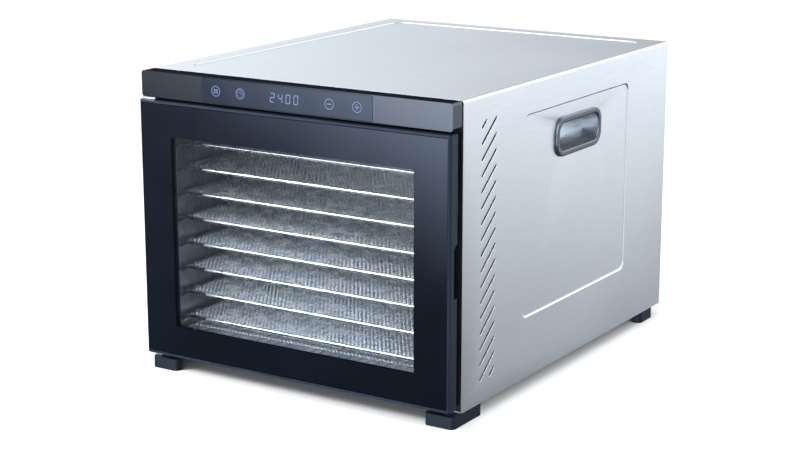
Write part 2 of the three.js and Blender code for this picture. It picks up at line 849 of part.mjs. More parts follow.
function powerBoard() {
  const onBoard = ({ x, z, width, height, depth }) =>
    box(
      powerX + x - width / 2,
      powerX + x + width / 2,
      powerY,
      powerY + boardThickness + depth,
      powerZ + z - height / 2,
      powerZ + z + height / 2,
    );
  const { x: width, z: height, post, postRadius } = powerBoardSize;
  const parts = [onBoard({ x: 0, z: 0, width, height, depth: 0 })];
  parts.push(...[transformer, fanRelay, heaterRelay, capacitor, terminalStrip].map(onBoard));
  for (const side of [-1, 1]) {
    for (const end of [-1, 1]) {
      const x = powerX + side * (width / 2 - post);
      const z = powerZ + end * (height / 2 - post);
      parts.push(rodAlongY(x, z, postRadius, fanWallBack + gap, powerY + boardThickness / 2, 4));
    }
  }
  return union(parts);
}

// Ribbon of wires from the control board, over the chamber, down to the power board.
function controlHarness() {
  const above = (chamberCeiling + wrapTop) / 2 + controlWire.above;
  const { x } = controlWire;
  const end = powerZ + terminalStrip.z + terminalStrip.height / 2 + gap;
  const points = [
    new THREE.Vector3(x, boardBack + gap, panelMiddle),
    new THREE.Vector3(x, frameBack + 20, panelMiddle - 1),
    new THREE.Vector3(x + 20, (frameBack + baffleFront) / 2, above),
    new THREE.Vector3(powerX - 20, fanWallFront - 40, above),
    new THREE.Vector3(powerX, fanWallBack + 12, above - 10),
    new THREE.Vector3(powerX, powerY + 7, chamberCeiling - 30),
    new THREE.Vector3(powerX + terminalStrip.x, powerY + 7, end),
  ];
  return tube(points, controlWire.radius, 40, 8);
}

// Supply wires from the gland across the motor space to the power board's lower edge.
function supplyHarness() {
  const end = powerZ + fanRelay.z - fanRelay.height / 2 - gap;
  const points = [
    new THREE.Vector3(gland.x, rearPanelFront - gland.inside - gap, glandZ),
    new THREE.Vector3(gland.x + 8, rearPanelFront - 24, glandZ - 4),
    new THREE.Vector3(0, powerY + 14, glandZ - 12),
    new THREE.Vector3(powerX, powerY + 12, glandZ - 10),
    new THREE.Vector3(powerX + fanRelay.x, powerY + 9, end - 14),
    new THREE.Vector3(powerX + fanRelay.x, powerY + 9, end),
  ];
  return tube(points, supplyWire, 30, 8);
}

// ---------------------------------------------------------------- door
function windowOutline(grow) {
  return roundedRect(
    -windowHalf - grow,
    windowHalf + grow,
    windowLow - grow,
    windowHigh + grow,
    windowCorner,
  );
}

function retainerOutline(grow) {
  return roundedRect(
    -retainerHalf - grow,
    retainerHalf + grow,
    retainerLow - grow,
    retainerHigh + grow,
    retainerCorner,
  );
}

function doorFrame() {
  const plan = roundedRect(-doorHalf, doorHalf, doorFront, doorBack, doorEdgeRadius);
  const slab = alongZ(plan, doorBottom, doorTop);
  const glassPocket = roundedRect(
    -doorHalf + glassLip,
    doorHalf - glassLip,
    doorBottom + glassLip,
    doorTop - glassLip,
    glassCorner,
  );
  const pins = [
    alongZ(circle(hingeX, hingeY, pinRadius + gap), doorTop - pinLength, doorTop + over, 5),
    alongZ(circle(hingeX, hingeY, pinRadius + gap), doorBottom - over, doorBottom + pinLength, 5),
  ];
  return slab
    .subtract(alongY(glassPocket, doorFront - over, glassBack + gap))
    .subtract(alongY(windowOutline(windowRebate), doorFront, doorBack + over))
    .subtract(alongY(retainerOutline(gap), retainerFront - gap, doorBack + over))
    .subtract(union(pins))
    .subtract(magnetPocket())
    .subtract(fingerRecess());
}

// Finger recess in the free edge, open to the side and to the back, its top end sloped.
function fingerRecess() {
  const z0 = doorBottom + recessBottom;
  const z1 = z0 + recessHeight;
  const side = new THREE.Shape();
  side.moveTo(doorBack - recessThickness, z0);
  side.lineTo(doorBack + over, z0);
  side.lineTo(doorBack + over, z1 + recessChamfer);
  side.lineTo(doorBack - recessThickness + recessChamfer, z1 + recessChamfer);
  side.lineTo(doorBack - recessThickness, z1);
  return alongX(side, doorHalf - recessDepth, doorHalf + over);
}

function doorGlass() {
  const outline = roundedRect(
    -doorHalf + glassLip + gap,
    doorHalf - glassLip - gap,
    doorBottom + glassLip + gap,
    doorTop - glassLip - gap,
    1.5,
  );
  return alongY(outline, glassFront, glassBack);
}

function doorRetainer() {
  const opening = alongY(windowOutline(windowRebate), retainerFront - over, doorBack + over);
  return alongY(retainerOutline(0), retainerFront, doorBack).subtract(opening);
}

function doorGasket() {
  const outer = retainerOutline(-gasketEdge);
  const inner = retainerOutline(-gasketEdge - gasketWidth);
  const y0 = doorBack + gap;
  const y1 = y0 + gasketThickness;
  return alongY(outer, y0, y1).subtract(alongY(inner, y0 - over, y1 + over));
}

const magnetZ = doorTop - magnet.drop;
const magnetFront = doorBack - gap - magnet.thickness;

function magnetBlock(y0, y1, grow) {
  return box(
    doorHalf - magnet.edge - magnet.width - grow,
    doorHalf - magnet.edge + grow,
    y0 - grow,
    y1 + grow,
    magnetZ - magnet.height / 2 - grow,
    magnetZ + magnet.height / 2 + grow,
  );
}

const doorMagnet = () => magnetBlock(magnetFront, doorBack - gap, 0);
const magnetPocket = () => magnetBlock(magnetFront, doorBack + over, gap);
const magnetCatch = () => magnetBlock(doorBack + over, frameFront - gap, 0);

const hingePlateTop = fasciaBottom - gap;
const hingePlateLow = doorBottom - gap - hingePlate;

function hingePlateSolid(z0) {
  const outline = roundedRect(
    hingeX - hingePlateWidth / 2 + hingePlateShift,
    hingeX + hingePlateWidth / 2 + hingePlateShift,
    hingeY - hingePlateFront,
    frameFront - gap,
    hingePlateCorner,
  );
  const z1 = z0 + hingePlate;
  const hole = alongZ(circle(hingeX, hingeY, pinRadius + gap), z0 - over, z1 + over, 5);
  return alongZ(outline, z0, z1).subtract(hole);
}

const hingePin = (z0, z1) => alongZ(circle(hingeX, hingeY, pinRadius), z0, z1, 5);

// ---------------------------------------------------------------- trays
// A rod frame with the wire mesh welded under it, drawn as a thin sheet. Local z = 0 is the rods' axis.
function wireTray() {
  const middle = (trayFront + trayBack) / 2;
  const reach = (trayBack - trayFront) / 2;
  const outline = (inset) =>
    roundedRect(
      -trayHalf + inset,
      trayHalf - inset,
      middle - reach + inset,
      middle + reach - inset,
      trayCorner - inset,
    );
  const ring = alongZ(outline(0), -trayRod / 2, trayRod / 2);
  const hollow = alongZ(outline(trayRod), -trayRod, trayRod);
  const mesh = alongZ(outline(trayMeshInset), traySheetBottom, traySheetTop);
  return toGeometry(ring.subtract(hollow).add(mesh));
}

function dripOutline(inset) {
  return roundedRect(
    -trayHalf + inset,
    trayHalf - inset,
    trayFront + inset,
    trayBack - inset,
    trayCorner - inset,
  );
}

// Shallow pan that catches drips under the lowest tray. Local z = 0 is its underside.
function dripTray() {
  const hollow = alongZ(dripOutline(dripWall), dripWall, dripHeight + over);
  return alongZ(dripOutline(0), 0, dripHeight).subtract(hollow);
}

// Crimped wire grid lying in the pan, drawn as a thin sheet.
function dripGrid() {
  const z0 = dripWall + gap;
  return alongZ(dripOutline(dripWall + gap), z0, z0 + trayMesh);
}

// ---------------------------------------------------------------- handles and feet
// Recessed side grip on the +X side: a bezel on the wrap, with a cup whose back curves forward and down.
function handleCup() {
  const face = recessedFace + gap;
  const front = face + bezelThickness;
  const back = front - cupDepth - cupWall;
  const rect = (length, height, radius) =>
    roundedRect(
      bezelY - length / 2,
      bezelY + length / 2,
      bezelZ - height / 2,
      bezelZ + height / 2,
      radius,
    );
  const bezel = alongX(rect(bezelLength, bezelHeight, bezelRadius), face, front);
  const body = alongX(rect(cupLength, cupHeight, gripRadius), back, front);
  const top = bezelZ + gripHeight / 2;
  const bottom = bezelZ - gripHeight / 2;
  const deep = back + cupWall;
  const { round, upright, pull, sag, lip } = cupCurve;
  const side = new THREE.Shape();
  side.moveTo(front + over, top);
  side.lineTo(deep + round, top);
  side.quadraticCurveTo(deep, top, deep, top - round);
  side.lineTo(deep, top - upright);
  side.quadraticCurveTo(deep + pull, bottom + sag, front - lip, bottom);
  side.lineTo(front + over, bottom);
  const hollow = alongY(side, bezelY - gripLength / 2, bezelY + gripLength / 2, 3);
  const opening = alongX(rect(gripLength, gripHeight, gripRadius - over), back, front + over);
  return bezel.add(body).subtract(hollow.intersect(opening));
}

// L-shaped corner foot. Its outer corner is at the local origin and its arms run along -X and +Y.
function foot(lengthX, lengthY) {
  const top = footHeight - gap;
  const armX = roundedRect(-lengthX, 0, 0, footArm, footCorner);
  const armY = roundedRect(-footArm, 0, 0, lengthY, footCorner);
  return alongZ(armX, 0, top).add(alongZ(armY, 0, top));
}

// ---------------------------------------------------------------- assembly
const cabinet = new THREE.Group();
cabinet.add(
  piece("outer_wrap", outerWrap(), steel),
  piece("base_pan", basePan(), zincSteel),
  piece("rear_panel", rearPanel(), zincSteel),
  piece("rear_grille", rearGrille(), blackPlastic),
  piece("cable_gland", cableGland(), blackPlastic),
  piece("mouth_frame", mouthFrame(), blackPlastic),
  piece("chamber_wall_right", chamberWall(1), chamberSteel),
  piece("chamber_wall_left", chamberWall(-1), chamberSteel),
  piece("chamber_ceiling", chamberDeck(chamberCeiling, chamberCeiling + plate), chamberSteel),
  piece("chamber_floor", chamberDeck(chamberFloor - plate, chamberFloor), chamberSteel),
  piece("air_baffle", airBaffle(), chamberSteel),
  piece("fan_wall", fanWall(), zincSteel),
  piece("heater_coil", heaterCoil(), copper),
  piece("heater_post_right", heaterPost(THREE.MathUtils.degToRad(20)), whiteCeramic),
  piece("heater_post_left", heaterPost(THREE.MathUtils.degToRad(160)), whiteCeramic),
  piece("thermal_cutout", thermalCutout(), whiteCeramic),
  piece("temperature_probe", temperatureProbe(), zincSteel),
  piece("motor_bracket", motorBracket(), zincSteel),
  piece("fan_motor", fanMotor(), castMetal),
  piece("power_board", powerBoard(), circuitBoard),
  piece("control_harness", controlHarness(), rubber),
  piece("supply_harness", supplyHarness(), rubber),
  piece("fascia", fascia(), darkPlastic),
  piece("display_panel", displayPanel(), panelGlass),
  piece("display_module", displayModule(), displayBlue),
  piece("control_board", controlBoard(), circuitBoard),
  piece("magnet_catch", magnetCatch(), blackPlastic),
  piece("hinge_plate_top", hingePlateSolid(hingePlateTop - hingePlate), zincSteel),
  piece("hinge_plate_bottom", hingePlateSolid(hingePlateLow), zincSteel),
);
touchX.forEach((x, i) => cabinet.add(piece(`touch_spring_${i + 1}`, touchSpring(x), zincSteel)));

for (const [name, side] of [["right", 1], ["left", -1]]) {
  const cup = piece(`handle_cup_${name}`, handleCup(), greyPlastic);
  cup.scale.x = side;
  const frontFoot = piece(`foot_front_${name}`, foot(frontFootX, frontFootY), footPlastic);
  frontFoot.position.set(side * (half - footSetback), wrapFront - frontFootReach, 0);
  frontFoot.scale.x = side;
  const rearFoot = piece(`foot_rear_${name}`, foot(rearFootX, rearFootY), footPlastic);
  rearFoot.position.set(side * (half - footSetback), wrapBack - rearFootInset, 0);
  rearFoot.scale.set(side, -1, 1);
  cabinet.add(cup, frontFoot, rearFoot);
}

const fan = new THREE.Group();
const shaft = rodAlongY(0, fanAxisZ, shaftRadius, shaftFront, shaftBack, 6);
fan.add(
  piece("motor_shaft", shaft, zincSteel),
  piece("fan_impeller", impeller(), zincSteel),
  piece("impeller_nut", impellerNut(), zincSteel),
);

const door = new THREE.Group();
door.add(
  piece("door_frame", doorFrame(), blackPlastic),
  piece("door_glass", doorGlass(), clearGlass),
  piece("door_retainer", doorRetainer(), chamberSteel),
  piece("door_gasket", doorGasket(), rubber),
  piece("door_magnet", doorMagnet(), castMetal),
  piece("hinge_pin_top", hingePin(doorTop - pinLength + gap, hingePlateTop - gap), zincSteel),
  piece("hinge_pin_bottom", hingePin(hingePlateLow + gap, doorBottom + pinLength - gap), zincSteel),
);

const trays = new THREE.Group();
const trayGeometry = wireTray();
for (let i = 0; i < trayCount; i++) {
  const tray = piece(`tray_${i + 1}`, trayGeometry, wireSteel);
  tray.position.z = firstTray + i * trayPitch;
  trays.add(tray);
}
for (const pan of [
  piece("drip_tray", dripTray(), steel),
  piece("drip_grid", dripGrid(), wireSteel),
]) {
  pan.position.z = chamberFloor + gap;
  trays.add(pan);
}

const dehydrator = new THREE.Group();
dehydrator.add(cabinet, fan, door, trays);

export default dehydrator;
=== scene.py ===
"""Looks of a countertop food dehydrator: steel cabinet, glass door, eight wire trays.

Metres, +X right seen from the front, +Y to the back, +Z up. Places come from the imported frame.
"""

import math

import bmesh
import bpy
import numpy as np
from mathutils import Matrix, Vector


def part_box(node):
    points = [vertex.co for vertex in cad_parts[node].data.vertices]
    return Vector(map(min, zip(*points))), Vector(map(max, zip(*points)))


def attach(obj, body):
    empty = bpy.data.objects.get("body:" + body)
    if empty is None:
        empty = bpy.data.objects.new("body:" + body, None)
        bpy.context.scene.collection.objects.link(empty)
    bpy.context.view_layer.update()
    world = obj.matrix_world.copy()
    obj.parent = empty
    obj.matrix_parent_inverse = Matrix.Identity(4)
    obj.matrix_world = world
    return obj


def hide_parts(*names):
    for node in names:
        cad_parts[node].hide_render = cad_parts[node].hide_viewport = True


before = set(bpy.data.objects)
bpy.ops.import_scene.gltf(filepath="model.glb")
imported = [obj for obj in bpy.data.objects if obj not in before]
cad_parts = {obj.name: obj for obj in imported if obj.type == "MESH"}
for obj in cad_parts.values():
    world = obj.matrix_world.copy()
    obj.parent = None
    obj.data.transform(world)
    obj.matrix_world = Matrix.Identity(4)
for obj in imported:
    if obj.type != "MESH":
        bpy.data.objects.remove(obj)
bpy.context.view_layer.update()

MM = 0.001
FULL_TURN = 2 * math.pi

# ---------------------------------------------------------------- sizes the frame doesn't state
SHEET = 1.0 * MM  # outer steel sheet
WRAP_BEND = 2.5 * MM
BEND_STEPS = 10
EMBOSS_DEPTH = 1.1 * MM
EMBOSS_SLOPE = 1.5 * MM
EMBOSS_STEPS = 6
# pressed fields: distances from the wrap's edges, and the radius of their corners
SIDE_EMBOSS = {"front": 111 * MM, "back": 92 * MM, "top": 30 * MM, "bottom": 59.5 * MM, "radius": 8 * MM}
TOP_EMBOSS = {"side": 22.5 * MM, "front": 27 * MM, "back": 18 * MM, "radius": 12 * MM}
SLOT_WIDTH = 2.2 * MM
SLOT_RUN = 25.9 * MM  # how far back a slot goes
SLOT_RISE = 21.2 * MM  # how far up it goes
SLOT_PITCH = 14.55 * MM
SLOT_FRONT = 32.3 * MM  # the field of slots, from the wrap's front, top and bottom edges
SLOT_TOP = 23 * MM
SLOT_BOTTOM = 21.5 * MM
SLOT_END_STEPS = 6
SLOT_LIPS = (  # drawn-in edge of a slot: how far outside it, and how deep
    (0.5 * MM, 0.0),
    (0.22 * MM, 0.08 * MM),
    (0.06 * MM, 0.28 * MM),
    (0.0, 0.7 * MM),
)

BEZEL_THICKNESS = 2.7 * MM
BEZEL_RADIUS = 14 * MM
BEZEL_WIDTH = 5 * MM  # from the bezel's outer edge to the CAD solid's opening
BEZEL_ROUND = 1.3 * MM  # rounding of the bezel's outer edge
LIP_ROUND = 1.6 * MM  # rounding into the opening
GRIP_SHELL = 0.8 * MM  # wall of the bezel and pocket
OPENING_INSET = BEZEL_WIDTH + 0.75 * MM  # leaves room for the shell round the opening
GRIP_CORNER = 9.8 * MM  # least corner radius of the opening
HOLE_INSET = BEZEL_WIDTH - 0.3 * MM  # the sheet's hole, clear of the shell
HOLE_RADIUS = 11 * MM
CUP_WALL = 2 * MM  # of the CAD solid
CUP_TOP_ROUND = 4 * MM  # between the pocket's ceiling and its back wall
CUP_UPRIGHT = 10 * MM  # upright part of the back wall, from the top
CUP_SAG = 2.5 * MM  # height over the bottom of the point that the sweep bends round
CUP_BELLY = 1 * MM  # how far forward of the back wall that point lies
CUP_LIP = 5 * MM  # how far behind the bezel's face the sweep ends

WINDOW_SIDE = 37 * MM  # border of the door beside, over and under the window
WINDOW_TOP = 33.5 * MM
WINDOW_BOTTOM = 31 * MM
WINDOW_CORNER = 2 * MM
PANE_CORNER = 1.2 * MM
PANE_GRIND = 0.4 * MM  # ground edge of the pane

TRAY_ROD = 3.6 * MM
TRAY_CORNER = 8 * MM
TRAY_COUNT = 8
LONG_WIRE_PITCH = 10.5 * MM  # straight wires from front to back
LONG_WIRE_RADIUS = 0.5 * MM
CROSS_WIRE_PITCH = 6.6 * MM  # crimped wires from side to side
CROSS_WIRE_RADIUS = 0.6 * MM
CRIMP_WAVE = 4.4 * MM
CRIMP_HEIGHT = 1.0 * MM
GRID_ROW_PITCH = 13.3 * MM  # crimped wires of the drip tray's grid
WIRE_LIFT = 0.75 * MM  # middle of the crimped wires over the top of the straight ones

PRINT_DEPTH = 0.06 * MM  # figures and symbols on the display's glass
PRINT_SUNK = 0.01 * MM  # how far they reach into the glass
FIGURE_WIDTH = 4.3 * MM
FIGURE_HEIGHT = 8.0 * MM
FIGURE_LEAN = 0.09
FIGURE_SPACE = 0.12 * MM  # between the ends of two bars
BAR_WIDTH = 0.75 * MM
FIGURES = (("2", -21.0), ("4", -12.3), ("0", -3.6), ("0", 5.1))  # left edges in millimetres
TOUCH_RINGS = (("heat", -83.0), ("timer", -55.0), ("minus", 44.0), ("plus", 73.5))  # their centres
TOUCH_RADIUS = 4.9 * MM
TOUCH_LINE = 0.55 * MM
SYMBOL_REACH = 2.5 * MM
PLUS_GAP = 0.45 * MM  # from the plus sign's middle to the start of its upright bars
WAVE_RISE = 0.35 * MM
WAVE_GAP = 0.1 * MM
CLOCK_RADIUS = 3.0 * MM
CLOCK_LINE = 0.3 * MM
HAND_WIDTH = 0.5 * MM

WELD = 1e-7  # points this near each other are one

# ---------------------------------------------------------------- values of the camera, light and surfaces
CAMERA_PLACE = (0.9672, -1.5648, 0.5738)
CAMERA_AZIMUTH = 32.275  # degrees to the right of straight in front
CAMERA_ELEVATION = 13.828  # degrees it looks down
CAMERA_LENS = 83.64  # millimetres, on the sensor below
CAMERA_SENSOR = 36
CAMERA_CLIP = (0.05, 50)
FLOOR_REACH = 30

BACKDROP_STRENGTH = 1.2  # what the camera sees round the object
MATT_STRENGTH = 1.02  # what lights matt surfaces
HAZE_HEIGHT = (-0.36, -0.10)  # sine of the elevation where the reflected surroundings brighten
HAZE_STRENGTH = (0.10, 0.36)
GLOW_COLOUR = (0.93, 0.97, 1.0, 1)
GLOWS = (  # centre azimuth (0 in front, 90 on the right) and elevation, full and zero radius, strength
    ((-108, 16), 10, 56, 0.90),
    ((149, 20), 8, 42, 1.95),
    ((-5, 30), 44, 53, 5.4),
    ((75, 0), 8, 40, 0.9),
    ((90, 40), 5, 45, 0.3),
    ((0, 88), 10, 50, 0.2),
)
COOL_TINT = (205, 222, 255)  # sRGB tint of the reflections in black surfaces
NOISE_ROUGHNESS = 0.55
NOISE_RANGE = (0.3, 0.7)  # where most values of a noise lie


# ---------------------------------------------------------------- camera, floor and light
def add_camera():
    """The camera stands front right of the object, a little above its top."""
    data = bpy.data.cameras.new("camera")
    data.sensor_width = CAMERA_SENSOR
    data.lens = CAMERA_LENS
    data.clip_start, data.clip_end = CAMERA_CLIP
    camera = bpy.data.objects.new("camera", data)
    camera.location = CAMERA_PLACE
    tilt = math.pi / 2 - math.radians(CAMERA_ELEVATION)
    camera.rotation_euler = (tilt, 0, math.radians(CAMERA_AZIMUTH))
    bpy.context.collection.objects.link(camera)
    bpy.context.scene.camera = camera


def area_light(name, place, target, size, power, glossy=True):
    """White rectangle of light that the camera doesn't see."""
    data = bpy.data.lights.new(name, "AREA")
    data.shape = "RECTANGLE"
    data.size, data.size_y = size
    data.energy = power
    light = bpy.data.objects.new(name, data)
    light.location = place
    aim = Vector(target) - Vector(place)
    light.rotation_euler = aim.to_track_quat("-Z", "Y").to_euler()
    light.visible_glossy = glossy
    light.visible_camera = False
    bpy.context.collection.objects.link(light)


def add_floor():
    """Wide white paper that the feet stand on. It isn't part of the object."""
    far = FLOOR_REACH
    mesh = bpy.data.meshes.new("floor")
    corners = [(-far, -far, 0), (far, -far, 0), (far, far, 0), (-far, far, 0)]
    mesh.from_pydata(corners, [], [(0, 1, 2, 3)])
    floor = bpy.data.objects.new("floor", mesh)
    bpy.context.collection.objects.link(floor)
    material, shader = new_material("floor_paper", (250, 251, 253), 0.9)
    shader.inputs["Specular IOR Level"].default_value = 0.1
    mesh.materials.append(material)
    floor.visible_glossy = False


def sky_glow(nodes, links, direction, centre, inner, outer, strength):
    """Brightness of one soft lamp in the studio, falling off smoothly with the angle from its centre."""
    azimuth, elevation = math.radians(centre[0]), math.radians(centre[1])
    flat = math.cos(elevation)
    dot = nodes.new("ShaderNodeVectorMath")
    dot.operation = "DOT_PRODUCT"
    dot.inputs[1].default_value = (
        math.sin(azimuth) * flat,
        -math.cos(azimuth) * flat,
        math.sin(elevation),
    )
    links.new(direction, dot.inputs[0])
    fall = nodes.new("ShaderNodeMapRange")
    fall.interpolation_type = "SMOOTHERSTEP"
    fall.inputs["From Min"].default_value = math.cos(math.radians(outer))
    fall.inputs["From Max"].default_value = math.cos(math.radians(inner))
    fall.inputs["To Max"].default_value = strength
    links.new(dot.outputs["Value"], fall.inputs["Value"])
    return fall.outputs["Result"]


def reflected_strength(nodes, links, direction):
    """Brightness of the surroundings in reflections: a haze that grows with height, and soft lamps."""
    split = nodes.new("ShaderNodeSeparateXYZ")
    links.new(direction, split.inputs[0])
    haze = nodes.new("ShaderNodeMapRange")
    haze.interpolation_type = "SMOOTHSTEP"
    haze.inputs["From Min"].default_value, haze.inputs["From Max"].default_value = HAZE_HEIGHT
    haze.inputs["To Min"].default_value, haze.inputs["To Max"].default_value = HAZE_STRENGTH
    links.new(split.outputs["Z"], haze.inputs["Value"])
    total = haze.outputs["Result"]
    for centre, inner, outer, strength in GLOWS:
        add = nodes.new("ShaderNodeMath")
        links.new(total, add.inputs[0])
        links.new(sky_glow(nodes, links, direction, centre, inner, outer, strength), add.inputs[1])
        total = add.outputs[0]
    return total


def background(nodes, colour, strength=1.0):
    node = nodes.new("ShaderNodeBackground")
    node.inputs["Color"].default_value = colour
    node.inputs["Strength"].default_value = strength
    return node


def choose(nodes, links, share, first, second):
    """The first shader where share is 0, the second where it is 1."""
    mix = nodes.new("ShaderNodeMixShader")
    links.new(share, mix.inputs[0])
    links.new(first.outputs[0], mix.inputs[1])
    links.new(second.outputs[0], mix.inputs[2])
    return mix


def add_studio():
    """White surroundings for the eye and for matt surfaces, and soft lamps for reflections."""
    world = bpy.data.worlds.new("studio")
    bpy.context.scene.world = world
    world.use_nodes = True
    nodes, links = world.node_tree.nodes, world.node_tree.links
    nodes.clear()
    direction = nodes.new("ShaderNodeTexCoord").outputs["Generated"]
    reflected = background(nodes, GLOW_COLOUR)
    links.new(reflected_strength(nodes, links, direction), reflected.inputs["Strength"])
    plain = background(nodes, (1, 1, 1, 1), MATT_STRENGTH)
    backdrop = background(nodes, (1, 1, 1, 1), BACKDROP_STRENGTH)
    path = nodes.new("ShaderNodeLightPath")
    by_gloss = choose(nodes, links, path.outputs["Is Glossy Ray"], plain, reflected)
    by_camera = choose(nodes, links, path.outputs["Is Camera Ray"], by_gloss, backdrop)
    output = nodes.new("ShaderNodeOutputWorld")
    links.new(by_camera.outputs[0], output.inputs["Surface"])
    bpy.context.scene.view_settings.view_transform = "Standard"


def add_lights():
    """Three soft boxes: above, in front on the left, and on the right."""
    area_light("top_softbox", (0.1, -0.1, 1.6), (0, 0, 0.1), (1.6, 1.6), 9, glossy=False)
    area_light("window_softbox", (-0.75, -1.1, 0.8), (0.06, 0, 0.12), (0.42, 0.36), 22)
    area_light("side_softbox", (1.5, -0.4, 0.9), (0, 0, 0.12), (0.9, 0.9), 6, glossy=False)


# ---------------------------------------------------------------- materials
def linear(colour):
    """Linear colour of an sRGB colour given in steps of 0 to 255."""
    parts = [c / 255 for c in colour]
    return tuple(c / 12.92 if c <= 0.04045 else ((c + 0.055) / 1.055) ** 2.4 for c in parts)


def new_material(name, colour, roughness, metallic=0.0):
    material = bpy.data.materials.new(name)
    material.use_nodes = True
    shader = material.node_tree.nodes["Principled BSDF"]
    shader.inputs["Base Color"].default_value = (*linear(colour), 1)
    shader.inputs["Roughness"].default_value = roughness
    shader.inputs["Metallic"].default_value = metallic
    material.diffuse_color = (*linear(colour), 1)
    return material, shader


def noise(material, per_metre, detail):
    """A noise in the object's own space. per_metre is how many features fit in a metre on each axis."""
    nodes, links = material.node_tree.nodes, material.node_tree.links
    coords = nodes.new("ShaderNodeTexCoord")
    mapping = nodes.new("ShaderNodeMapping")
    mapping.inputs["Scale"].default_value = per_metre
    links.new(coords.outputs["Object"], mapping.inputs["Vector"])
    texture = nodes.new("ShaderNodeTexNoise")
    texture.inputs["Scale"].default_value = 1
    texture.inputs["Detail"].default_value = detail
    texture.inputs["Roughness"].default_value = NOISE_ROUGHNESS
    links.new(mapping.outputs["Vector"], texture.inputs["Vector"])
    return texture.outputs["Fac"]


def spread(material, value, low, high):
    """Values within NOISE_RANGE, stretched over low to high."""
    node = material.node_tree.nodes.new("ShaderNodeMapRange")
    node.inputs["From Min"].default_value, node.inputs["From Max"].default_value = NOISE_RANGE
    node.inputs["To Min"].default_value = low
    node.inputs["To Max"].default_value = high
    material.node_tree.links.new(value, node.inputs["Value"])
    return node.outputs["Result"]


def tint(material, shader, value, dark, light):
    """Base colour that wanders between two sRGB colours."""
    mix = material.node_tree.nodes.new("ShaderNodeMix")
    mix.data_type = "RGBA"
    mix.inputs["A"].default_value = (*linear(dark), 1)
    mix.inputs["B"].default_value = (*linear(light), 1)
    links = material.node_tree.links
    links.new(spread(material, value, 0, 1), mix.inputs["Factor"])
    links.new(mix.outputs["Result"], shader.inputs["Base Color"])


def roughen(material, shader, value, low, high):
    material.node_tree.links.new(spread(material, value, low, high), shader.inputs["Roughness"])


def bump(material, shader, value, height):
    """Relief of the given height, in metres."""
    node = material.node_tree.nodes.new("ShaderNodeBump")
    node.inputs["Strength"].default_value = 1
    node.inputs["Distance"].default_value = height
    links = material.node_tree.links
    links.new(value, node.inputs["Height"])
    links.new(node.outputs["Normal"], shader.inputs["Normal"])


def cool_reflections(shader, level):
    """Faintly blue reflections of the given strength."""
    shader.inputs["Specular IOR Level"].default_value = level
    shader.inputs["Specular Tint"].default_value = (*linear(COOL_TINT), 1)


def brushed_steel():
    """Fine short brushing along the depth, over broad soft clouds of worn, rougher steel."""
    material, shader = new_material("brushed_steel", (226, 231, 238), 0.34, 1)
    lines = noise(material, (1500, 30, 1500), 4)
    clouds = noise(material, (9, 6, 9), 2)
    tint(material, shader, lines, (222, 227, 234), (232, 237, 243))
    roughen(material, shader, clouds, 0.34, 0.40)
    bump(material, shader, lines, 0.004 * MM)
    return material


def zinc_steel():
    """Zinc-coated sheet with its crystal patches."""
    material, shader = new_material("zinc_steel", (168, 173, 178), 0.42, 1)
    nodes, links = material.node_tree.nodes, material.node_tree.links
    coords = nodes.new("ShaderNodeTexCoord")
    cells = nodes.new("ShaderNodeTexVoronoi")
    cells.inputs["Scale"].default_value = 160
    links.new(coords.outputs["Object"], cells.inputs["Vector"])
    split = nodes.new("ShaderNodeSeparateColor")
    links.new(cells.outputs["Color"], split.inputs["Color"])
    patch = split.outputs["Red"]
    tint(material, shader, patch, (162, 167, 173), (170, 175, 181))
    roughen(material, shader, patch, 0.36, 0.5)
    return material


def chamber_steel():
    """Bright inner lining, brushed upright, with faint smudges."""
    material, shader = new_material("chamber_steel", (178, 184, 190), 0.3, 1)
    lines = noise(material, (600, 600, 18), 3)
    smudges = noise(material, (22, 22, 22), 3)
    tint(material, shader, lines, (150, 157, 165), (186, 192, 199))
    roughen(material, shader, smudges, 0.24, 0.4)
    bump(material, shader, lines, 0.015 * MM)
    return material


def tray_steel():
    """Satin drip tray with a soft, even sheen and faint wash marks."""
    material, shader = new_material("tray_steel", (224, 228, 234), 0.5, 0.7)
    marks = noise(material, (35, 35, 35), 4)
    tint(material, shader, marks, (206, 211, 218), (230, 234, 239))
    roughen(material, shader, marks, 0.42, 0.55)
    return material


def tray_wire():
    """Polished round wire, a little duller where it has been washed."""
    material, shader = new_material("tray_wire", (214, 216, 219), 0.25, 1)
    dulling = noise(material, (60, 60, 60), 3)
    tint(material, shader, dulling, (202, 205, 209), (222, 224, 227))
    roughen(material, shader, dulling, 0.2, 0.32)
    return material


def moulded_plastic(name, dark, light, rough, relief, grain, specular=0.3):
    """Matt moulded plastic with a spark-eroded grain and slow changes of sheen."""
    material, shader = new_material(name, light, sum(rough) / 2)
    fine = noise(material, (grain, grain, grain), 2)
    slow = noise(material, (24, 24, 24), 2)
    tint(material, shader, slow, dark, light)
    roughen(material, shader, slow, *rough)
    bump(material, shader, fine, relief)
    cool_reflections(shader, specular)
    return material


def grip_paint():
    """Grey metallic paint on the moulded grips."""
    material, shader = new_material("grip_paint", (98, 104, 112), 0.3, 0.9)
    fine = noise(material, (1300, 1300, 1300), 2)
    slow = noise(material, (30, 30, 30), 2)
    tint(material, shader, fine, (91, 97, 105), (106, 112, 120))
    roughen(material, shader, slow, 0.27, 0.36)
    bump(material, shader, fine, 0.004 * MM)
    return material


def painted_edge_highlight():
    """Painted highlight: a light colour on the rounded plastic edges, standing in for the light they
    catch.
    """
    material, shader = new_material("painted_edge_highlight", (186, 200, 220), 0.3)
    # uneven patches in the painted highlight's colour and roughness
    highlight_patches = noise(material, (40, 40, 40), 3)
    tint(material, shader, highlight_patches, (170, 184, 205), (198, 211, 230))
    roughen(material, shader, highlight_patches, 0.25, 0.38)
    return material


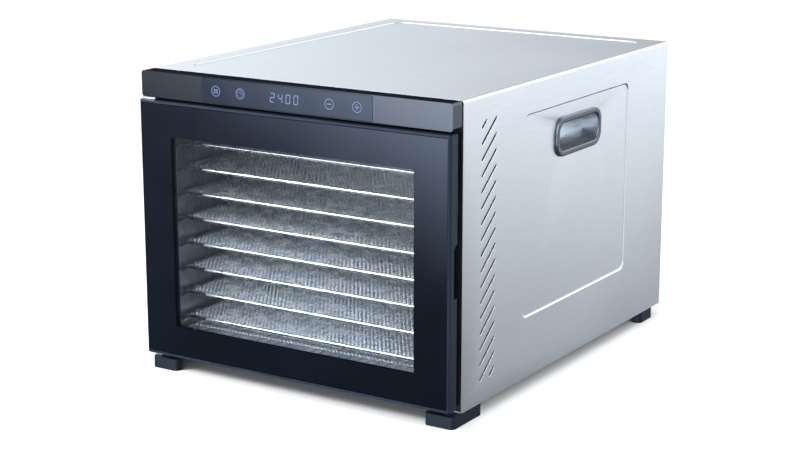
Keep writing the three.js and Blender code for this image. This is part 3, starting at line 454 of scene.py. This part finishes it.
def grip_pocket_painted_light():
    """Lighter copy of the grip's satin paint for the pocket: painted light on the pocket's walls."""
    material, shader = new_material("grip_pocket_painted_light", (160, 166, 174), 0.3, 0.9)
    streaks = noise(material, (18, 60, 900), 3)
    tint(material, shader, streaks, (146, 152, 160), (172, 178, 186))
    roughen(material, shader, streaks, 0.27, 0.38)
    return material


def fascia_plastic():
    """Dark metallic paint over a finely grained moulding."""
    material, shader = new_material("fascia_plastic", (66, 71, 80), 0.07, 0.85)
    fine = noise(material, (1400, 1400, 1400), 2)
    slow = noise(material, (20, 20, 20), 2)
    tint(material, shader, fine, (61, 66, 75), (72, 77, 86))
    roughen(material, shader, slow, 0.06, 0.10)
    bump(material, shader, fine, 0.004 * MM)
    return material


def door_print():
    """Black enamel behind glass: deep, glossy and very slightly uneven."""
    material, shader = new_material("door_print", (5, 9, 17), 0.06)
    smear = noise(material, (14, 14, 14), 3)
    tint(material, shader, smear, (3, 7, 14), (6, 11, 19))
    roughen(material, shader, smear, 0.05, 0.09)
    cool_reflections(shader, 0.68)
    return material


def panel_glass():
    """Dark smoked glass of the display panel."""
    material, shader = new_material("panel_glass", (13, 19, 28), 0.08)
    smear = noise(material, (30, 30, 30), 3)
    tint(material, shader, smear, (5, 11, 21), (9, 16, 27))
    roughen(material, shader, smear, 0.07, 0.13)
    cool_reflections(shader, 0.72)
    return material


def window_glass():
    """Clear pane: seen straight through, with a mirror film that grows at a slant."""
    material = bpy.data.materials.new("window_glass")
    material.use_nodes = True
    nodes, links = material.node_tree.nodes, material.node_tree.links
    nodes.clear()
    clear = nodes.new("ShaderNodeBsdfTransparent")
    clear.inputs["Color"].default_value = (0.94, 0.955, 0.97, 1)
    gloss = nodes.new("ShaderNodeBsdfGlossy")
    gloss.inputs["Color"].default_value = (0.9, 0.95, 1, 1)
    gloss.inputs["Roughness"].default_value = 0.04
    fresnel = nodes.new("ShaderNodeFresnel")
    fresnel.inputs["IOR"].default_value = 1.45
    smear = noise(material, (40, 40, 40), 3)
    film = nodes.new("ShaderNodeMath")
    film.operation = "MULTIPLY"
    links.new(fresnel.outputs[0], film.inputs[0])
    links.new(spread(material, smear, 0.5, 0.8), film.inputs[1])
    mix = nodes.new("ShaderNodeMixShader")
    links.new(film.outputs[0], mix.inputs[0])
    links.new(clear.outputs[0], mix.inputs[1])
    links.new(gloss.outputs[0], mix.inputs[2])
    output = nodes.new("ShaderNodeOutputMaterial")
    links.new(mix.outputs[0], output.inputs["Surface"])
    return material


def display_led():
    """Pale blue-violet light through the panel, a little uneven."""
    material, shader = new_material("display_led", (54, 66, 106), 0.5)
    glow = noise(material, (300, 300, 300), 2)
    tint(material, shader, glow, (48, 60, 98), (62, 74, 114))
    shader.inputs["Emission Color"].default_value = (*linear((172, 186, 236)), 1)
    shader.inputs["Emission Strength"].default_value = 0.36
    return material


def circuit_board():
    """Green board with darker copper tracks under the lacquer."""
    material, shader = new_material("circuit_board", (24, 74, 46), 0.4)
    tracks = noise(material, (260, 260, 900), 1)
    tint(material, shader, tracks, (16, 52, 34), (40, 104, 64))
    roughen(material, shader, tracks, 0.3, 0.5)
    return material


def gasket_rubber():
    """Soft black rubber with a grey bloom."""
    material, shader = new_material("gasket_rubber", (34, 36, 39), 0.8)
    bloom = noise(material, (90, 90, 90), 4)
    tint(material, shader, bloom, (26, 28, 31), (46, 48, 52))
    bump(material, shader, noise(material, (1600, 1600, 1600), 2), 0.03 * MM)
    return material


def ceramic():
    """Off-white ceramic with faint speckles."""
    material, shader = new_material("ceramic", (226, 222, 212), 0.5)
    speckle = noise(material, (400, 400, 400), 3)
    tint(material, shader, speckle, (210, 205, 194), (236, 233, 225))
    roughen(material, shader, speckle, 0.4, 0.6)
    return material


def heater_sheath():
    """Heat-tinted sheath: steel going from straw to blue-grey."""
    material, shader = new_material("heater_sheath", (140, 116, 92), 0.38, 1)
    heat = noise(material, (18, 18, 18), 2)
    tint(material, shader, heat, (92, 96, 112), (168, 132, 92))
    roughen(material, shader, heat, 0.3, 0.46)
    return material


def motor_casting():
    """Grey metal with the roughness of sand casting."""
    material, shader = new_material("motor_casting", (112, 115, 119), 0.55, 0.9)
    sand = noise(material, (700, 700, 700), 3)
    tint(material, shader, sand, (98, 101, 105), (128, 131, 135))
    bump(material, shader, sand, 0.05 * MM)
    return material


MATERIALS = {
    "brushed_steel": brushed_steel(),
    "zinc_steel": zinc_steel(),
    "chamber_steel": chamber_steel(),
    "tray_steel": tray_steel(),
    "tray_wire": tray_wire(),
    "door_print": door_print(),
    "panel_glass": panel_glass(),
    "window_glass": window_glass(),
    "display_led": display_led(),
    "circuit_board": circuit_board(),
    "gasket_rubber": gasket_rubber(),
    "ceramic": ceramic(),
    "heater_sheath": heater_sheath(),
    "motor_casting": motor_casting(),
    "door_plastic": moulded_plastic(
        "door_plastic", (18, 25, 36), (24, 31, 43), (0.34, 0.46), 0.02 * MM, 1500
    ),
    # painted shade: a near-black plastic without reflections that darkens the fascia's top
    "fascia_top_painted_shade": moulded_plastic(
        "fascia_top_painted_shade", (14, 18, 25), (20, 25, 33), (0.6, 0.8), 0.03 * MM, 1200, specular=0.0
    ),
    "black_plastic": moulded_plastic(
        "black_plastic", (12, 14, 17), (18, 21, 25), (0.5, 0.65), 0.03 * MM, 1200
    ),
    "foot_plastic": moulded_plastic(
        "foot_plastic", (12, 17, 25), (17, 23, 32), (0.42, 0.55), 0.03 * MM, 1200
    ),
    "grip_paint": grip_paint(),
    "grip_pocket_painted_light": grip_pocket_painted_light(),
    "painted_edge_highlight": painted_edge_highlight(),
    "fascia_plastic": fascia_plastic(),
}


# ---------------------------------------------------------------- mesh helpers
def rounded_loop(u0, u1, v0, v1, radius, steps=8):
    """Anticlockwise outline of a rectangle with round corners."""
    points = []
    corners = [
        (u1 - radius, v0 + radius, -90),
        (u1 - radius, v1 - radius, 0),
        (u0 + radius, v1 - radius, 90),
        (u0 + radius, v0 + radius, 180),
    ]
    for cu, cv, start in corners:
        for i in range(steps + 1):
            angle = math.radians(start + 90 * i / steps)
            points.append((cu + radius * math.cos(angle), cv + radius * math.sin(angle)))
    return points


def stadium_loop(u0, v0, u1, v1, width):
    """Anticlockwise outline of a slot of the given width whose round ends stop at the two points."""
    along = Vector((u1 - u0, v1 - v0)).normalized()
    across = Vector((-along.y, along.x))
    radius = width / 2
    points = []
    ends = [((u1, v1), along, -across), ((u0, v0), -along, across)]
    for (eu, ev), out, start in ends:
        cu, cv = eu - out.x * SLOT_WIDTH / 2, ev - out.y * SLOT_WIDTH / 2
        for i in range(SLOT_END_STEPS + 1):
            angle = math.pi * i / SLOT_END_STEPS
            step = start * math.cos(angle) + out * math.sin(angle)
            points.append((cu + radius * step.x, cv + radius * step.y))
    return points


def add_ring(bm, points):
    return [bm.verts.new(p) for p in points]


def join_rings(bm, first, second, material=0, closed=True):
    """Quads between two rings with the same number of points."""
    count = len(first)
    for i in range(count if closed else count - 1):
        j = (i + 1) % count
        face = bm.faces.new((first[i], first[j], second[j], second[i]))
        face.material_index = material


def fill_rings(bm, rings, normal, material=0):
    """Flat face inside the first ring and outside the others."""
    edges = []
    for ring in rings:
        for i, vert in enumerate(ring):
            pair = (vert, ring[(i + 1) % len(ring)])
            edges.append(bm.edges.get(pair) or bm.edges.new(pair))
    made = bmesh.ops.triangle_fill(bm, edges=edges, use_beauty=True, normal=normal)
    for item in made["geom"]:
        if isinstance(item, bmesh.types.BMFace):
            item.material_index = material
            if item.normal.dot(Vector(normal)) < 0:
                item.normal_flip()


def finish_mesh(bm, name, materials, body, smooth_angle):
    """Turns the bmesh into a piece that rides on a body."""
    bmesh.ops.remove_doubles(bm, verts=bm.verts, dist=WELD)
    mesh = bpy.data.meshes.new(name)
    bm.to_mesh(mesh)
    bm.free()
    for key in materials:
        mesh.materials.append(MATERIALS[key])
    mesh.shade_smooth()
    mesh.set_sharp_from_angle(angle=math.radians(smooth_angle))
    piece = bpy.data.objects.new(name, mesh)
    bpy.context.collection.objects.link(piece)
    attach(piece, body)
    return piece


def even_normals(piece):
    """Keeps the large flat faces flat in the shading."""
    modifier = piece.modifiers.new("even_normals", "WEIGHTED_NORMAL")
    modifier.keep_sharp = True


def soften_edges(piece, width, edge_material=0):
    """Joins the flat triangles of a CAD node, then rounds its sharp edges."""
    merge = piece.modifiers.new("flat_faces", "DECIMATE")
    merge.decimate_type = "DISSOLVE"
    merge.angle_limit = math.radians(0.5)
    bevel = piece.modifiers.new("soft_edges", "BEVEL")
    bevel.width = width
    bevel.segments = 3
    bevel.limit_method = "ANGLE"
    bevel.angle_limit = math.radians(40)
    bevel.harden_normals = True
    bevel.material = edge_material


# ---------------------------------------------------------------- outer wrap
def slot_lines(y0, low, high):
    """Ends of the parallel slots, from the top down, cut short where the field of slots ends."""
    slope = SLOT_RUN / SLOT_RISE
    start = high - SLOT_RISE + SLOT_PITCH
    while start + SLOT_RISE > low + 2 * SLOT_WIDTH:
        z0, z1 = max(start, low), min(start + SLOT_RISE, high)
        yield y0 + (z0 - start) * slope, z0, y0 + (z1 - start) * slope, z1
        start -= SLOT_PITCH


def pressed_panel(bm, place, outer, emboss, emboss_radius, holes, slots, normal):
    """A flat wall of the wrap: one shallow pressed field, plain holes and slots with drawn-in edges."""
    rings = []
    u0, u1, v0, v1 = emboss
    for i in range(EMBOSS_STEPS + 1):
        share = i / EMBOSS_STEPS
        depth = EMBOSS_DEPTH * (0.5 - 0.5 * math.cos(math.pi * share))
        inset = EMBOSS_SLOPE * share
        loop = rounded_loop(u0 + inset, u1 - inset, v0 + inset, v1 - inset, emboss_radius - inset / 2)
        rings.append(add_ring(bm, [place(u, v, -depth) for u, v in loop]))
    for above, below in zip(rings, rings[1:]):
        join_rings(bm, above, below)
    inner = [add_ring(bm, [place(u, v, -EMBOSS_DEPTH) for u, v in hole]) for hole in holes]
    fill_rings(bm, [rings[-1], *inner], normal)

    tops = []
    for y0, z0, y1, z1 in slots:
        edge = []
        for grow, depth in SLOT_LIPS:
            loop = stadium_loop(y0, z0, y1, z1, SLOT_WIDTH + 2 * grow)
            edge.append(add_ring(bm, [place(u, v, -depth) for u, v in loop]))
        for above, below in zip(edge, edge[1:]):
            join_rings(bm, above, below)
        tops.append(edge[0])
    border = add_ring(bm, [place(u, v, 0) for u, v in outer])
    fill_rings(bm, [border, rings[0], *tops], normal)


def grip_hole():
    """Outline of the sheet's hole behind a grip's bezel, in (y, z)."""
    low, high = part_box("handle_cup_right")
    return rounded_loop(
        low.y + HOLE_INSET,
        high.y - HOLE_INSET,
        low.z + HOLE_INSET,
        high.z - HOLE_INSET,
        HOLE_RADIUS,
    )


def bend_sheet(bm, side, flat, arc_z, front, back):
    """The quarter bend between the top and one side."""
    rows = []
    for i in range(BEND_STEPS + 1):
        angle = math.pi / 2 * i / BEND_STEPS
        x = side * (flat + WRAP_BEND * math.cos(angle))
        z = arc_z + WRAP_BEND * math.sin(angle)
        rows.append(add_ring(bm, [(x, front, z), (x, back, z)]))
    for first, second in zip(rows, rows[1:]):
        join_rings(bm, first, second, closed=False)


def build_wrap():
    """One sheet bent over the cabinet, with pressed fields, vent slots and holes for the grips."""
    low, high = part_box("outer_wrap")
    half = high.x
    flat = half - WRAP_BEND
    arc_z = high.z - WRAP_BEND
    side_outer = [(low.y, low.z), (high.y, low.z), (high.y, arc_z), (low.y, arc_z)]
    side_emboss = (
        low.y + SIDE_EMBOSS["front"],
        high.y - SIDE_EMBOSS["back"],
        low.z + SIDE_EMBOSS["bottom"],
        high.z - SIDE_EMBOSS["top"],
    )
    top_outer = [(-flat, low.y), (flat, low.y), (flat, high.y), (-flat, high.y)]
    top_emboss = (
        -half + TOP_EMBOSS["side"],
        half - TOP_EMBOSS["side"],
        low.y + TOP_EMBOSS["front"],
        high.y - TOP_EMBOSS["back"],
    )
    slots = list(slot_lines(low.y + SLOT_FRONT, low.z + SLOT_BOTTOM, high.z - SLOT_TOP))

    bm = bmesh.new()
    for side in (1, -1):
        pressed_panel(
            bm,
            lambda y, z, h, side=side: (side * (half + h), y, z),
            side_outer,
            side_emboss,
            SIDE_EMBOSS["radius"],
            [grip_hole()],
            slots,
            (side, 0, 0),
        )
        bend_sheet(bm, side, flat, arc_z, low.y, high.y)
    pressed_panel(
        bm,
        lambda x, y, h: (x, y, high.z + h),
        top_outer,
        top_emboss,
        TOP_EMBOSS["radius"],
        [],
        [],
        (0, 0, 1),
    )
    bmesh.ops.remove_doubles(bm, verts=bm.verts, dist=WELD)
    bmesh.ops.recalc_face_normals(bm, faces=bm.faces)
    top_face = max(bm.faces, key=lambda f: f.calc_center_median().z)
    if top_face.normal.z < 0:
        bmesh.ops.reverse_faces(bm, faces=bm.faces)
    wrap = finish_mesh(bm, "outer_wrap_sheet", ["brushed_steel"], "cabinet", 50)
    thickness = wrap.modifiers.new("sheet", "SOLIDIFY")
    thickness.thickness = SHEET
    thickness.offset = -1
    even_normals(wrap)
    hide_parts("outer_wrap")


# ---------------------------------------------------------------- grips
def cup_depth_at(z, low, high, deep, front):
    """Depth of the cup's back wall at a height: upright at the top, sweeping forward at the bottom."""
    t = np.linspace(0, 1, 25)
    top_z = (1 - t) ** 2 * high + 2 * t * (1 - t) * high + t**2 * (high - CUP_TOP_ROUND)
    top_x = (1 - t) ** 2 * (deep + CUP_TOP_ROUND) + 2 * t * (1 - t) * deep + t**2 * deep
    low_z = (1 - t) ** 2 * (high - CUP_UPRIGHT) + 2 * t * (1 - t) * (low + CUP_SAG) + t**2 * low
    low_x = (1 - t) ** 2 * deep + 2 * t * (1 - t) * (deep + CUP_BELLY) + t**2 * (front - CUP_LIP)
    heights = np.concatenate([top_z, low_z])
    depths = np.concatenate([top_x, low_x])
    order = np.argsort(heights)
    return float(np.interp(z, heights[order], depths[order]))


def bezel_section(face, front):
    """Section of the bezel from the sheet over its edge and into the opening, as (inset, x)."""
    steps = 6
    points = [(0.0, face)]
    for i in range(steps + 1):
        angle = math.pi / 2 * i / steps
        points.append((BEZEL_ROUND * (1 - math.cos(angle)), front - BEZEL_ROUND * (1 - math.sin(angle))))
    for i in range(steps + 1):
        angle = math.pi / 2 * i / steps
        inset = OPENING_INSET - LIP_ROUND + LIP_ROUND * math.sin(angle)
        points.append((inset, front - LIP_ROUND * (1 - math.cos(angle))))
    return points


def line_pocket(bm, ring, opening, middle, side, start_x, depth_at):
    """Walls from the opening back to the scooped surface, then rings over it, in the second material,
    which paints light into the pocket.
    """
    wall_steps, shrink_steps = 3, 14
    for i in range(1, wall_steps + 1):
        share = i / wall_steps
        points = [(side * (start_x + (depth_at(z) - start_x) * share), y, z) for y, z in opening]
        deeper = add_ring(bm, points)
        join_rings(bm, ring, deeper, material=1)
        ring = deeper
    for i in range(1, shrink_steps):
        scale = 1 - i / shrink_steps
        points = []
        for y, z in opening:
            level = middle[1] + (z - middle[1]) * scale
            points.append((side * depth_at(level), middle[0] + (y - middle[0]) * scale, level))
        smaller = add_ring(bm, points)
        join_rings(bm, ring, smaller, material=1)
        ring = smaller
    bm.faces.new(ring).material_index = 1


def build_grip(side, node):
    """Recessed carrying grip: a rounded bezel on the sheet and a scooped pocket behind it."""
    low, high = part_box(node)
    outer_x = max(abs(low.x), abs(high.x))
    face = outer_x - BEZEL_THICKNESS
    deep = min(abs(low.x), abs(high.x)) + CUP_WALL
    middle = ((low.y + high.y) / 2, (low.z + high.z) / 2)

    def outline(inset):
        radius = max(BEZEL_RADIUS - inset, GRIP_CORNER)
        return rounded_loop(low.y + inset, high.y - inset, low.z + inset, high.z - inset, radius, 10)

    section = bezel_section(face, outer_x)
    bm = bmesh.new()
    rings = [add_ring(bm, [(side * x, y, z) for y, z in outline(inset)]) for inset, x in section]
    for first, second in zip(rings, rings[1:]):
        join_rings(bm, first, second)

    opening = outline(OPENING_INSET)
    levels = [z for _, z in opening]

    def depth_at(z):
        return cup_depth_at(z, min(levels), max(levels), deep, outer_x)

    line_pocket(bm, rings[-1], opening, middle, side, section[-1][1], depth_at)
    bmesh.ops.recalc_face_normals(bm, faces=bm.faces)
    bm.faces.ensure_lookup_table()
    first_face = bm.faces[0]
    outward = first_face.calc_center_median() - Vector((side * face, *middle))
    if first_face.normal.dot(outward) < 0:
        bmesh.ops.reverse_faces(bm, faces=bm.faces)
    # the pocket takes the lighter copy of the grip's paint: painted light
    piece = finish_mesh(bm, f"{node}_shell", ["grip_paint", "grip_pocket_painted_light"], "cabinet", 50)
    thickness = piece.modifiers.new("wall", "SOLIDIFY")
    thickness.thickness = GRIP_SHELL
    thickness.offset = -1
    even_normals(piece)
    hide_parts(node)


# ---------------------------------------------------------------- door glass
def build_door_glass():
    """Toughened pane with a black printed border round the clear window, its edges ground."""
    low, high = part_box("door_glass")
    door_low, door_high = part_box("door_frame")
    window = (
        door_low.x + WINDOW_SIDE,
        door_high.x - WINDOW_SIDE,
        door_low.z + WINDOW_BOTTOM,
        door_high.z - WINDOW_TOP,
    )
    bm = bmesh.new()

    def ring(bounds, inset, radius, y):
        u0, u1, v0, v1 = bounds
        loop = rounded_loop(u0 + inset, u1 - inset, v0 + inset, v1 - inset, radius)
        return add_ring(bm, [(x, y, z) for x, z in loop])

    pane = (low.x, high.x, low.z, high.z)
    front = ring(pane, PANE_GRIND, PANE_CORNER, low.y)
    front_side = ring(pane, 0, PANE_CORNER, low.y + PANE_GRIND)
    back_side = ring(pane, 0, PANE_CORNER, high.y - PANE_GRIND)
    back = ring(pane, PANE_GRIND, PANE_CORNER, high.y)
    for first, second in ((front, front_side), (front_side, back_side), (back_side, back)):
        join_rings(bm, first, second)
    for y, outer, normal in ((low.y, front, (0, -1, 0)), (high.y, back, (0, 1, 0))):
        clear = ring(window, 0, WINDOW_CORNER, y)
        fill_rings(bm, [outer, clear], normal)
        fill_rings(bm, [clear], normal, material=1)
    bmesh.ops.recalc_face_normals(bm, faces=bm.faces)
    glass = finish_mesh(bm, "door_pane", ["door_print", "window_glass"], "door", 20)
    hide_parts("door_glass")


# ---------------------------------------------------------------- display prints
# lit bars of a figure: top, top right, low right, bottom, low left, top left, middle
SEGMENTS = {
    "2": (1, 1, 0, 1, 1, 0, 1),
    "4": (0, 1, 1, 0, 0, 1, 1),
    "0": (1, 1, 1, 1, 1, 1, 0),
}


def add_bar(bm, start, end, width, y):
    """A thin bar with pointed ends lying on the panel, from start to end in (x, z)."""
    a, b = Vector(start), Vector(end)
    along = (b - a).normalized()
    across = Vector((-along.y, along.x)) * (width / 2)
    tip = along * (width / 2)
    outline = [a, a + tip - across, b - tip - across, b, b - tip + across, a + tip + across]
    front = add_ring(bm, [(p.x, y, p.y) for p in outline])
    back = add_ring(bm, [(p.x, y + PRINT_DEPTH, p.y) for p in outline])
    bm.faces.new(front)
    bm.faces.new(list(reversed(back)))
    join_rings(bm, back, front)


def add_hoop(bm, centre, radius, width, y, steps=36):
    """A thin flat ring lying on the panel."""
    back, inner = y + PRINT_DEPTH, radius - width
    rings = []
    for r, at in ((radius, back), (radius, y), (inner, y), (inner, back)):
        points = []
        for i in range(steps):
            angle = FULL_TURN * i / steps
            points.append((centre[0] + r * math.cos(angle), at, centre[1] + r * math.sin(angle)))
        rings.append(add_ring(bm, points))
    for first, second in zip(rings, rings[1:]):
        join_rings(bm, first, second)
    join_rings(bm, rings[-1], rings[0])


def add_figure(bm, digit, x, z, y):
    """One leaning seven-bar figure, its lower left corner at x, z."""
    width, height, space = FIGURE_WIDTH, FIGURE_HEIGHT, FIGURE_SPACE
    half = height / 2

    def at(u, v):
        return (x + u + v * FIGURE_LEAN, z + v)

    ends = [
        (at(space, height), at(width - space, height)),
        (at(width, height - space), at(width, half + space)),
        (at(width, half - space), at(width, space)),
        (at(space, 0), at(width - space, 0)),
        (at(0, half - space), at(0, space)),
        (at(0, height - space), at(0, half + space)),
        (at(space, half), at(width - space, half)),
    ]
    for lit, (start, end) in zip(SEGMENTS[digit], ends):
        if lit:
            add_bar(bm, start, end, BAR_WIDTH, y)


def add_symbol(bm, name, centre, y):
    """What stands inside a touch ring: plus, minus, warm air or a clock face."""
    x, z = centre
    left, right = x - SYMBOL_REACH, x + SYMBOL_REACH
    if name in ("plus", "minus"):
        add_bar(bm, (left, z), (right, z), BAR_WIDTH, y)
    if name == "plus":
        add_bar(bm, (x, z + PLUS_GAP), (x, z + SYMBOL_REACH), BAR_WIDTH, y)
        add_bar(bm, (x, z - SYMBOL_REACH), (x, z - PLUS_GAP), BAR_WIDTH, y)
    if name == "heat":
        for row in (-1.5, 0, 1.5):
            bottom, top = z + row * MM - WAVE_RISE, z + row * MM + WAVE_RISE
            add_bar(bm, (left, bottom), (x - WAVE_GAP, top), BAR_WIDTH, y)
            add_bar(bm, (x + WAVE_GAP, top), (right, bottom), BAR_WIDTH, y)
    if name == "timer":
        add_hoop(bm, centre, CLOCK_RADIUS, CLOCK_LINE, y, 24)
        add_bar(bm, (x, z + 0.1 * MM), (x, z + 2.2 * MM), HAND_WIDTH, y)
        add_bar(bm, (x + 0.3 * MM, z), (x + 1.7 * MM, z), HAND_WIDTH, y)


def build_display_prints():
    """Lit figures and touch symbols just proud of the panel's glass."""
    low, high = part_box("display_panel")
    y = low.y - PRINT_DEPTH + PRINT_SUNK
    middle = (low.z + high.z) / 2
    figures = bmesh.new()
    for digit, x in FIGURES:
        add_figure(figures, digit, x * MM, middle - FIGURE_HEIGHT / 2, y)
    bmesh.ops.recalc_face_normals(figures, faces=figures.faces)
    shown = finish_mesh(figures, "display_figures", ["display_led"], "cabinet", 30)

    symbols = bmesh.new()
    for name, x in TOUCH_RINGS:
        centre = (x * MM, middle)
        add_hoop(symbols, centre, TOUCH_RADIUS, TOUCH_LINE, y)
        add_symbol(symbols, name, centre, y)
    bmesh.ops.recalc_face_normals(symbols, faces=symbols.faces)
    touch = finish_mesh(symbols, "touch_symbols", ["display_led"], "cabinet", 30)


# ---------------------------------------------------------------- trays
def tube_mesh(verts, faces, path, radius, sides, closed=False):
    """Adds a round wire along a path that stays near one level. path holds (x, y, z) points."""
    path = np.asarray(path)
    if closed:
        ahead, behind = np.roll(path, -1, 0), np.roll(path, 1, 0)
    else:
        ahead = np.vstack([path[1:], path[-1:]])
        behind = np.vstack([path[:1], path[:-1]])
    along = ahead - behind
    along /= np.linalg.norm(along, axis=1)[:, None]
    side = np.cross(along, (0, 0, 1))
    side /= np.linalg.norm(side, axis=1)[:, None]
    up = np.cross(side, along)
    first = len(verts)
    angles = FULL_TURN * np.arange(sides) / sides
    for point, s, u in zip(path, side, up):
        for angle in angles:
            verts.append(tuple(point + radius * (math.cos(angle) * s + math.sin(angle) * u)))
    count = len(path)
    for i in range(count if closed else count - 1):
        a = first + i * sides
        b = first + ((i + 1) % count) * sides
        for k in range(sides):
            n = (k + 1) % sides
            faces.append((a + k, a + n, b + n, b + k))
    if not closed:
        faces.append(tuple(first + k for k in reversed(range(sides))))
        faces.append(tuple(first + (count - 1) * sides + k for k in range(sides)))


def reach_inside(offset, half_here, half_other, radius):
    """Half length of a wire at an offset from the middle, inside a rounded rectangle."""
    into = abs(offset) - (half_other - radius)
    if into <= 0:
        return half_here
    return half_here - radius + math.sqrt(max(radius**2 - into**2, 0))


def woven_wires(verts, faces, middle, half, corner, bottom, row_pitch):
    """Crimped wires along X over straight wires along Y, inside a rounded rectangle."""
    long_z = bottom + LONG_WIRE_RADIUS
    cross_z = long_z + LONG_WIRE_RADIUS + WIRE_LIFT
    rows = round(2 * half[1] / row_pitch)
    for row in range(1, rows):
        y = -half[1] + row * 2 * half[1] / rows
        reach = reach_inside(y, half[0], half[1], corner)
        steps = int(reach / (CRIMP_WAVE / 4))  # four points to a wave
        path = []
        for i in range(-steps, steps + 1):
            x = i * CRIMP_WAVE / 4
            lift = CRIMP_HEIGHT * math.sin(FULL_TURN * i / 4)
            path.append((middle[0] + x, middle[1] + y, cross_z + lift))
        tube_mesh(verts, faces, path, CROSS_WIRE_RADIUS, sides=4)
    columns = round(2 * half[0] / LONG_WIRE_PITCH)
    for column in range(1, columns):
        x = -half[0] + column * 2 * half[0] / columns
        reach = reach_inside(x, half[1], half[0], corner)
        ends = [(middle[0] + x, middle[1] + y, long_z) for y in (-reach, reach)]
        tube_mesh(verts, faces, ends, LONG_WIRE_RADIUS, sides=8)


def wire_mesh(name, verts, faces):
    mesh = bpy.data.meshes.new(name)
    mesh.from_pydata(verts, [], faces)
    mesh.materials.append(MATERIALS["tray_wire"])
    mesh.shade_smooth()
    mesh.set_sharp_from_angle(angle=math.radians(60))
    return mesh


def tray_mesh(low, high):
    """Round rod frame with woven wires inside it, in the first tray's place."""
    middle_x, middle_y = (low.x + high.x) / 2, (low.y + high.y) / 2
    half_x = (high.x - low.x) / 2 - TRAY_ROD / 2
    half_y = (high.y - low.y) / 2 - TRAY_ROD / 2
    rod_z = high.z - TRAY_ROD / 2
    corner = TRAY_CORNER - TRAY_ROD / 2
    verts, faces = [], []
    loop = rounded_loop(
        middle_x - half_x, middle_x + half_x, middle_y - half_y, middle_y + half_y, corner, 6
    )
    tube_mesh(verts, faces, [(x, y, rod_z) for x, y in loop], TRAY_ROD / 2, sides=10, closed=True)

    middle = (middle_x, middle_y)
    woven_wires(verts, faces, middle, (half_x, half_y), corner, low.z, CROSS_WIRE_PITCH)
    return wire_mesh("wire_tray", verts, faces)


def build_trays():
    """Eight trays that share one mesh, each in the place of its CAD tray."""
    first_low, first_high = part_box("tray_1")
    mesh = tray_mesh(first_low, first_high)
    for number in range(1, TRAY_COUNT + 1):
        node = f"tray_{number}"
        low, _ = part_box(node)
        tray = bpy.data.objects.new(f"{node}_wires", mesh)
        tray.location = (0, 0, low.z - first_low.z)
        bpy.context.collection.objects.link(tray)
        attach(tray, node)
        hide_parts(node)


def build_drip_grid():
    """Coarse crimped grid lying on the drip tray's floor."""
    low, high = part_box("drip_grid")
    middle = ((low.x + high.x) / 2, (low.y + high.y) / 2)
    half = ((high.x - low.x) / 2, (high.y - low.y) / 2)
    verts, faces = [], []
    woven_wires(verts, faces, middle, half, TRAY_CORNER, low.z, GRID_ROW_PITCH)
    grid = bpy.data.objects.new("drip_grid_wires", wire_mesh("drip_grid_wires", verts, faces))
    bpy.context.collection.objects.link(grid)
    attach(grid, "drip_tray")
    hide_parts("drip_grid")


# ---------------------------------------------------------------- CAD nodes that stay
KEPT_NODES = {
    "zinc_steel": [
        "base_pan", "rear_panel", "fan_wall", "temperature_probe", "motor_bracket", "hinge_plate_top",
        "hinge_plate_bottom", "hinge_pin_top", "hinge_pin_bottom", "motor_shaft", "impeller_nut",
        "touch_spring_1", "touch_spring_2", "touch_spring_3", "touch_spring_4", "fan_impeller",
    ],
    "chamber_steel": [
        "chamber_wall_right", "chamber_wall_left", "chamber_ceiling", "chamber_floor", "air_baffle",
    ],
    "tray_steel": ["drip_tray"],
    "black_plastic": [
        "rear_grille", "cable_gland", "mouth_frame", "door_retainer", "magnet_catch", "door_magnet",
    ],
    "gasket_rubber": ["door_gasket", "control_harness", "supply_harness"],
    "heater_sheath": ["heater_coil"],
    "ceramic": ["heater_post_right", "heater_post_left", "thermal_cutout"],
    "motor_casting": ["fan_motor"],
    "circuit_board": ["power_board", "control_board"],
    "fascia_plastic": ["fascia"],
    "panel_glass": ["display_panel"],
    "display_led": ["display_module"],
    "door_plastic": ["door_frame"],
    "foot_plastic": ["foot_front_right", "foot_front_left", "foot_rear_right", "foot_rear_left"],
}
EDGE_WIDTHS = {  # rounding of the edges seen from outside
    "door_frame": 0.7 * MM,
    "fascia": 0.6 * MM,
    "display_panel": 0.25 * MM,
    "foot_front_right": 0.9 * MM,
    "foot_front_left": 0.9 * MM,
    "foot_rear_right": 0.9 * MM,
    "foot_rear_left": 0.9 * MM,
    "rear_grille": 0.3 * MM,
    "rear_panel": 0.25 * MM,
    "base_pan": 0.25 * MM,
    "mouth_frame": 0.1 * MM,
    "hinge_plate_top": 0.2 * MM,
    "hinge_plate_bottom": 0.2 * MM,
    "drip_tray": 0.2 * MM,
    "door_retainer": 0.3 * MM,
}
PAINTED_HIGHLIGHT_EDGES = ["door_frame", "fascia", "display_panel"]  # their rounded edges take the painted highlight


def dress_kept_nodes():
    """Materials, and rounded or at least smoothly shaded edges, for the CAD nodes that stay."""
    for key, names in KEPT_NODES.items():
        for name in names:
            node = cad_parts[name]
            node.data.materials.clear()
            node.data.materials.append(MATERIALS[key])
            if name in PAINTED_HIGHLIGHT_EDGES:
                # the rounded edges take the painted highlight
                node.data.materials.append(MATERIALS["painted_edge_highlight"])
                soften_edges(node, EDGE_WIDTHS[name], edge_material=1)
            elif name in EDGE_WIDTHS:
                soften_edges(node, EDGE_WIDTHS[name])
            else:
                node.data.shade_smooth()
                node.data.set_sharp_from_angle(angle=math.radians(35))
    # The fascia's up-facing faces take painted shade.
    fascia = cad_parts["fascia"].data
    top_slot = len(fascia.materials)
    fascia.materials.append(MATERIALS["fascia_top_painted_shade"])
    for polygon in fascia.polygons:
        if polygon.normal.z > 0.9:  # faces that look up take the painted shade
            polygon.material_index = top_slot


# ---------------------------------------------------------------- the scene
add_camera()
add_studio()
add_lights()
add_floor()
build_wrap()
for side_sign, cup in ((1, "handle_cup_right"), (-1, "handle_cup_left")):
    build_grip(side_sign, cup)
build_door_glass()
build_display_prints()
build_trays()
build_drip_grid()
dress_kept_nodes()
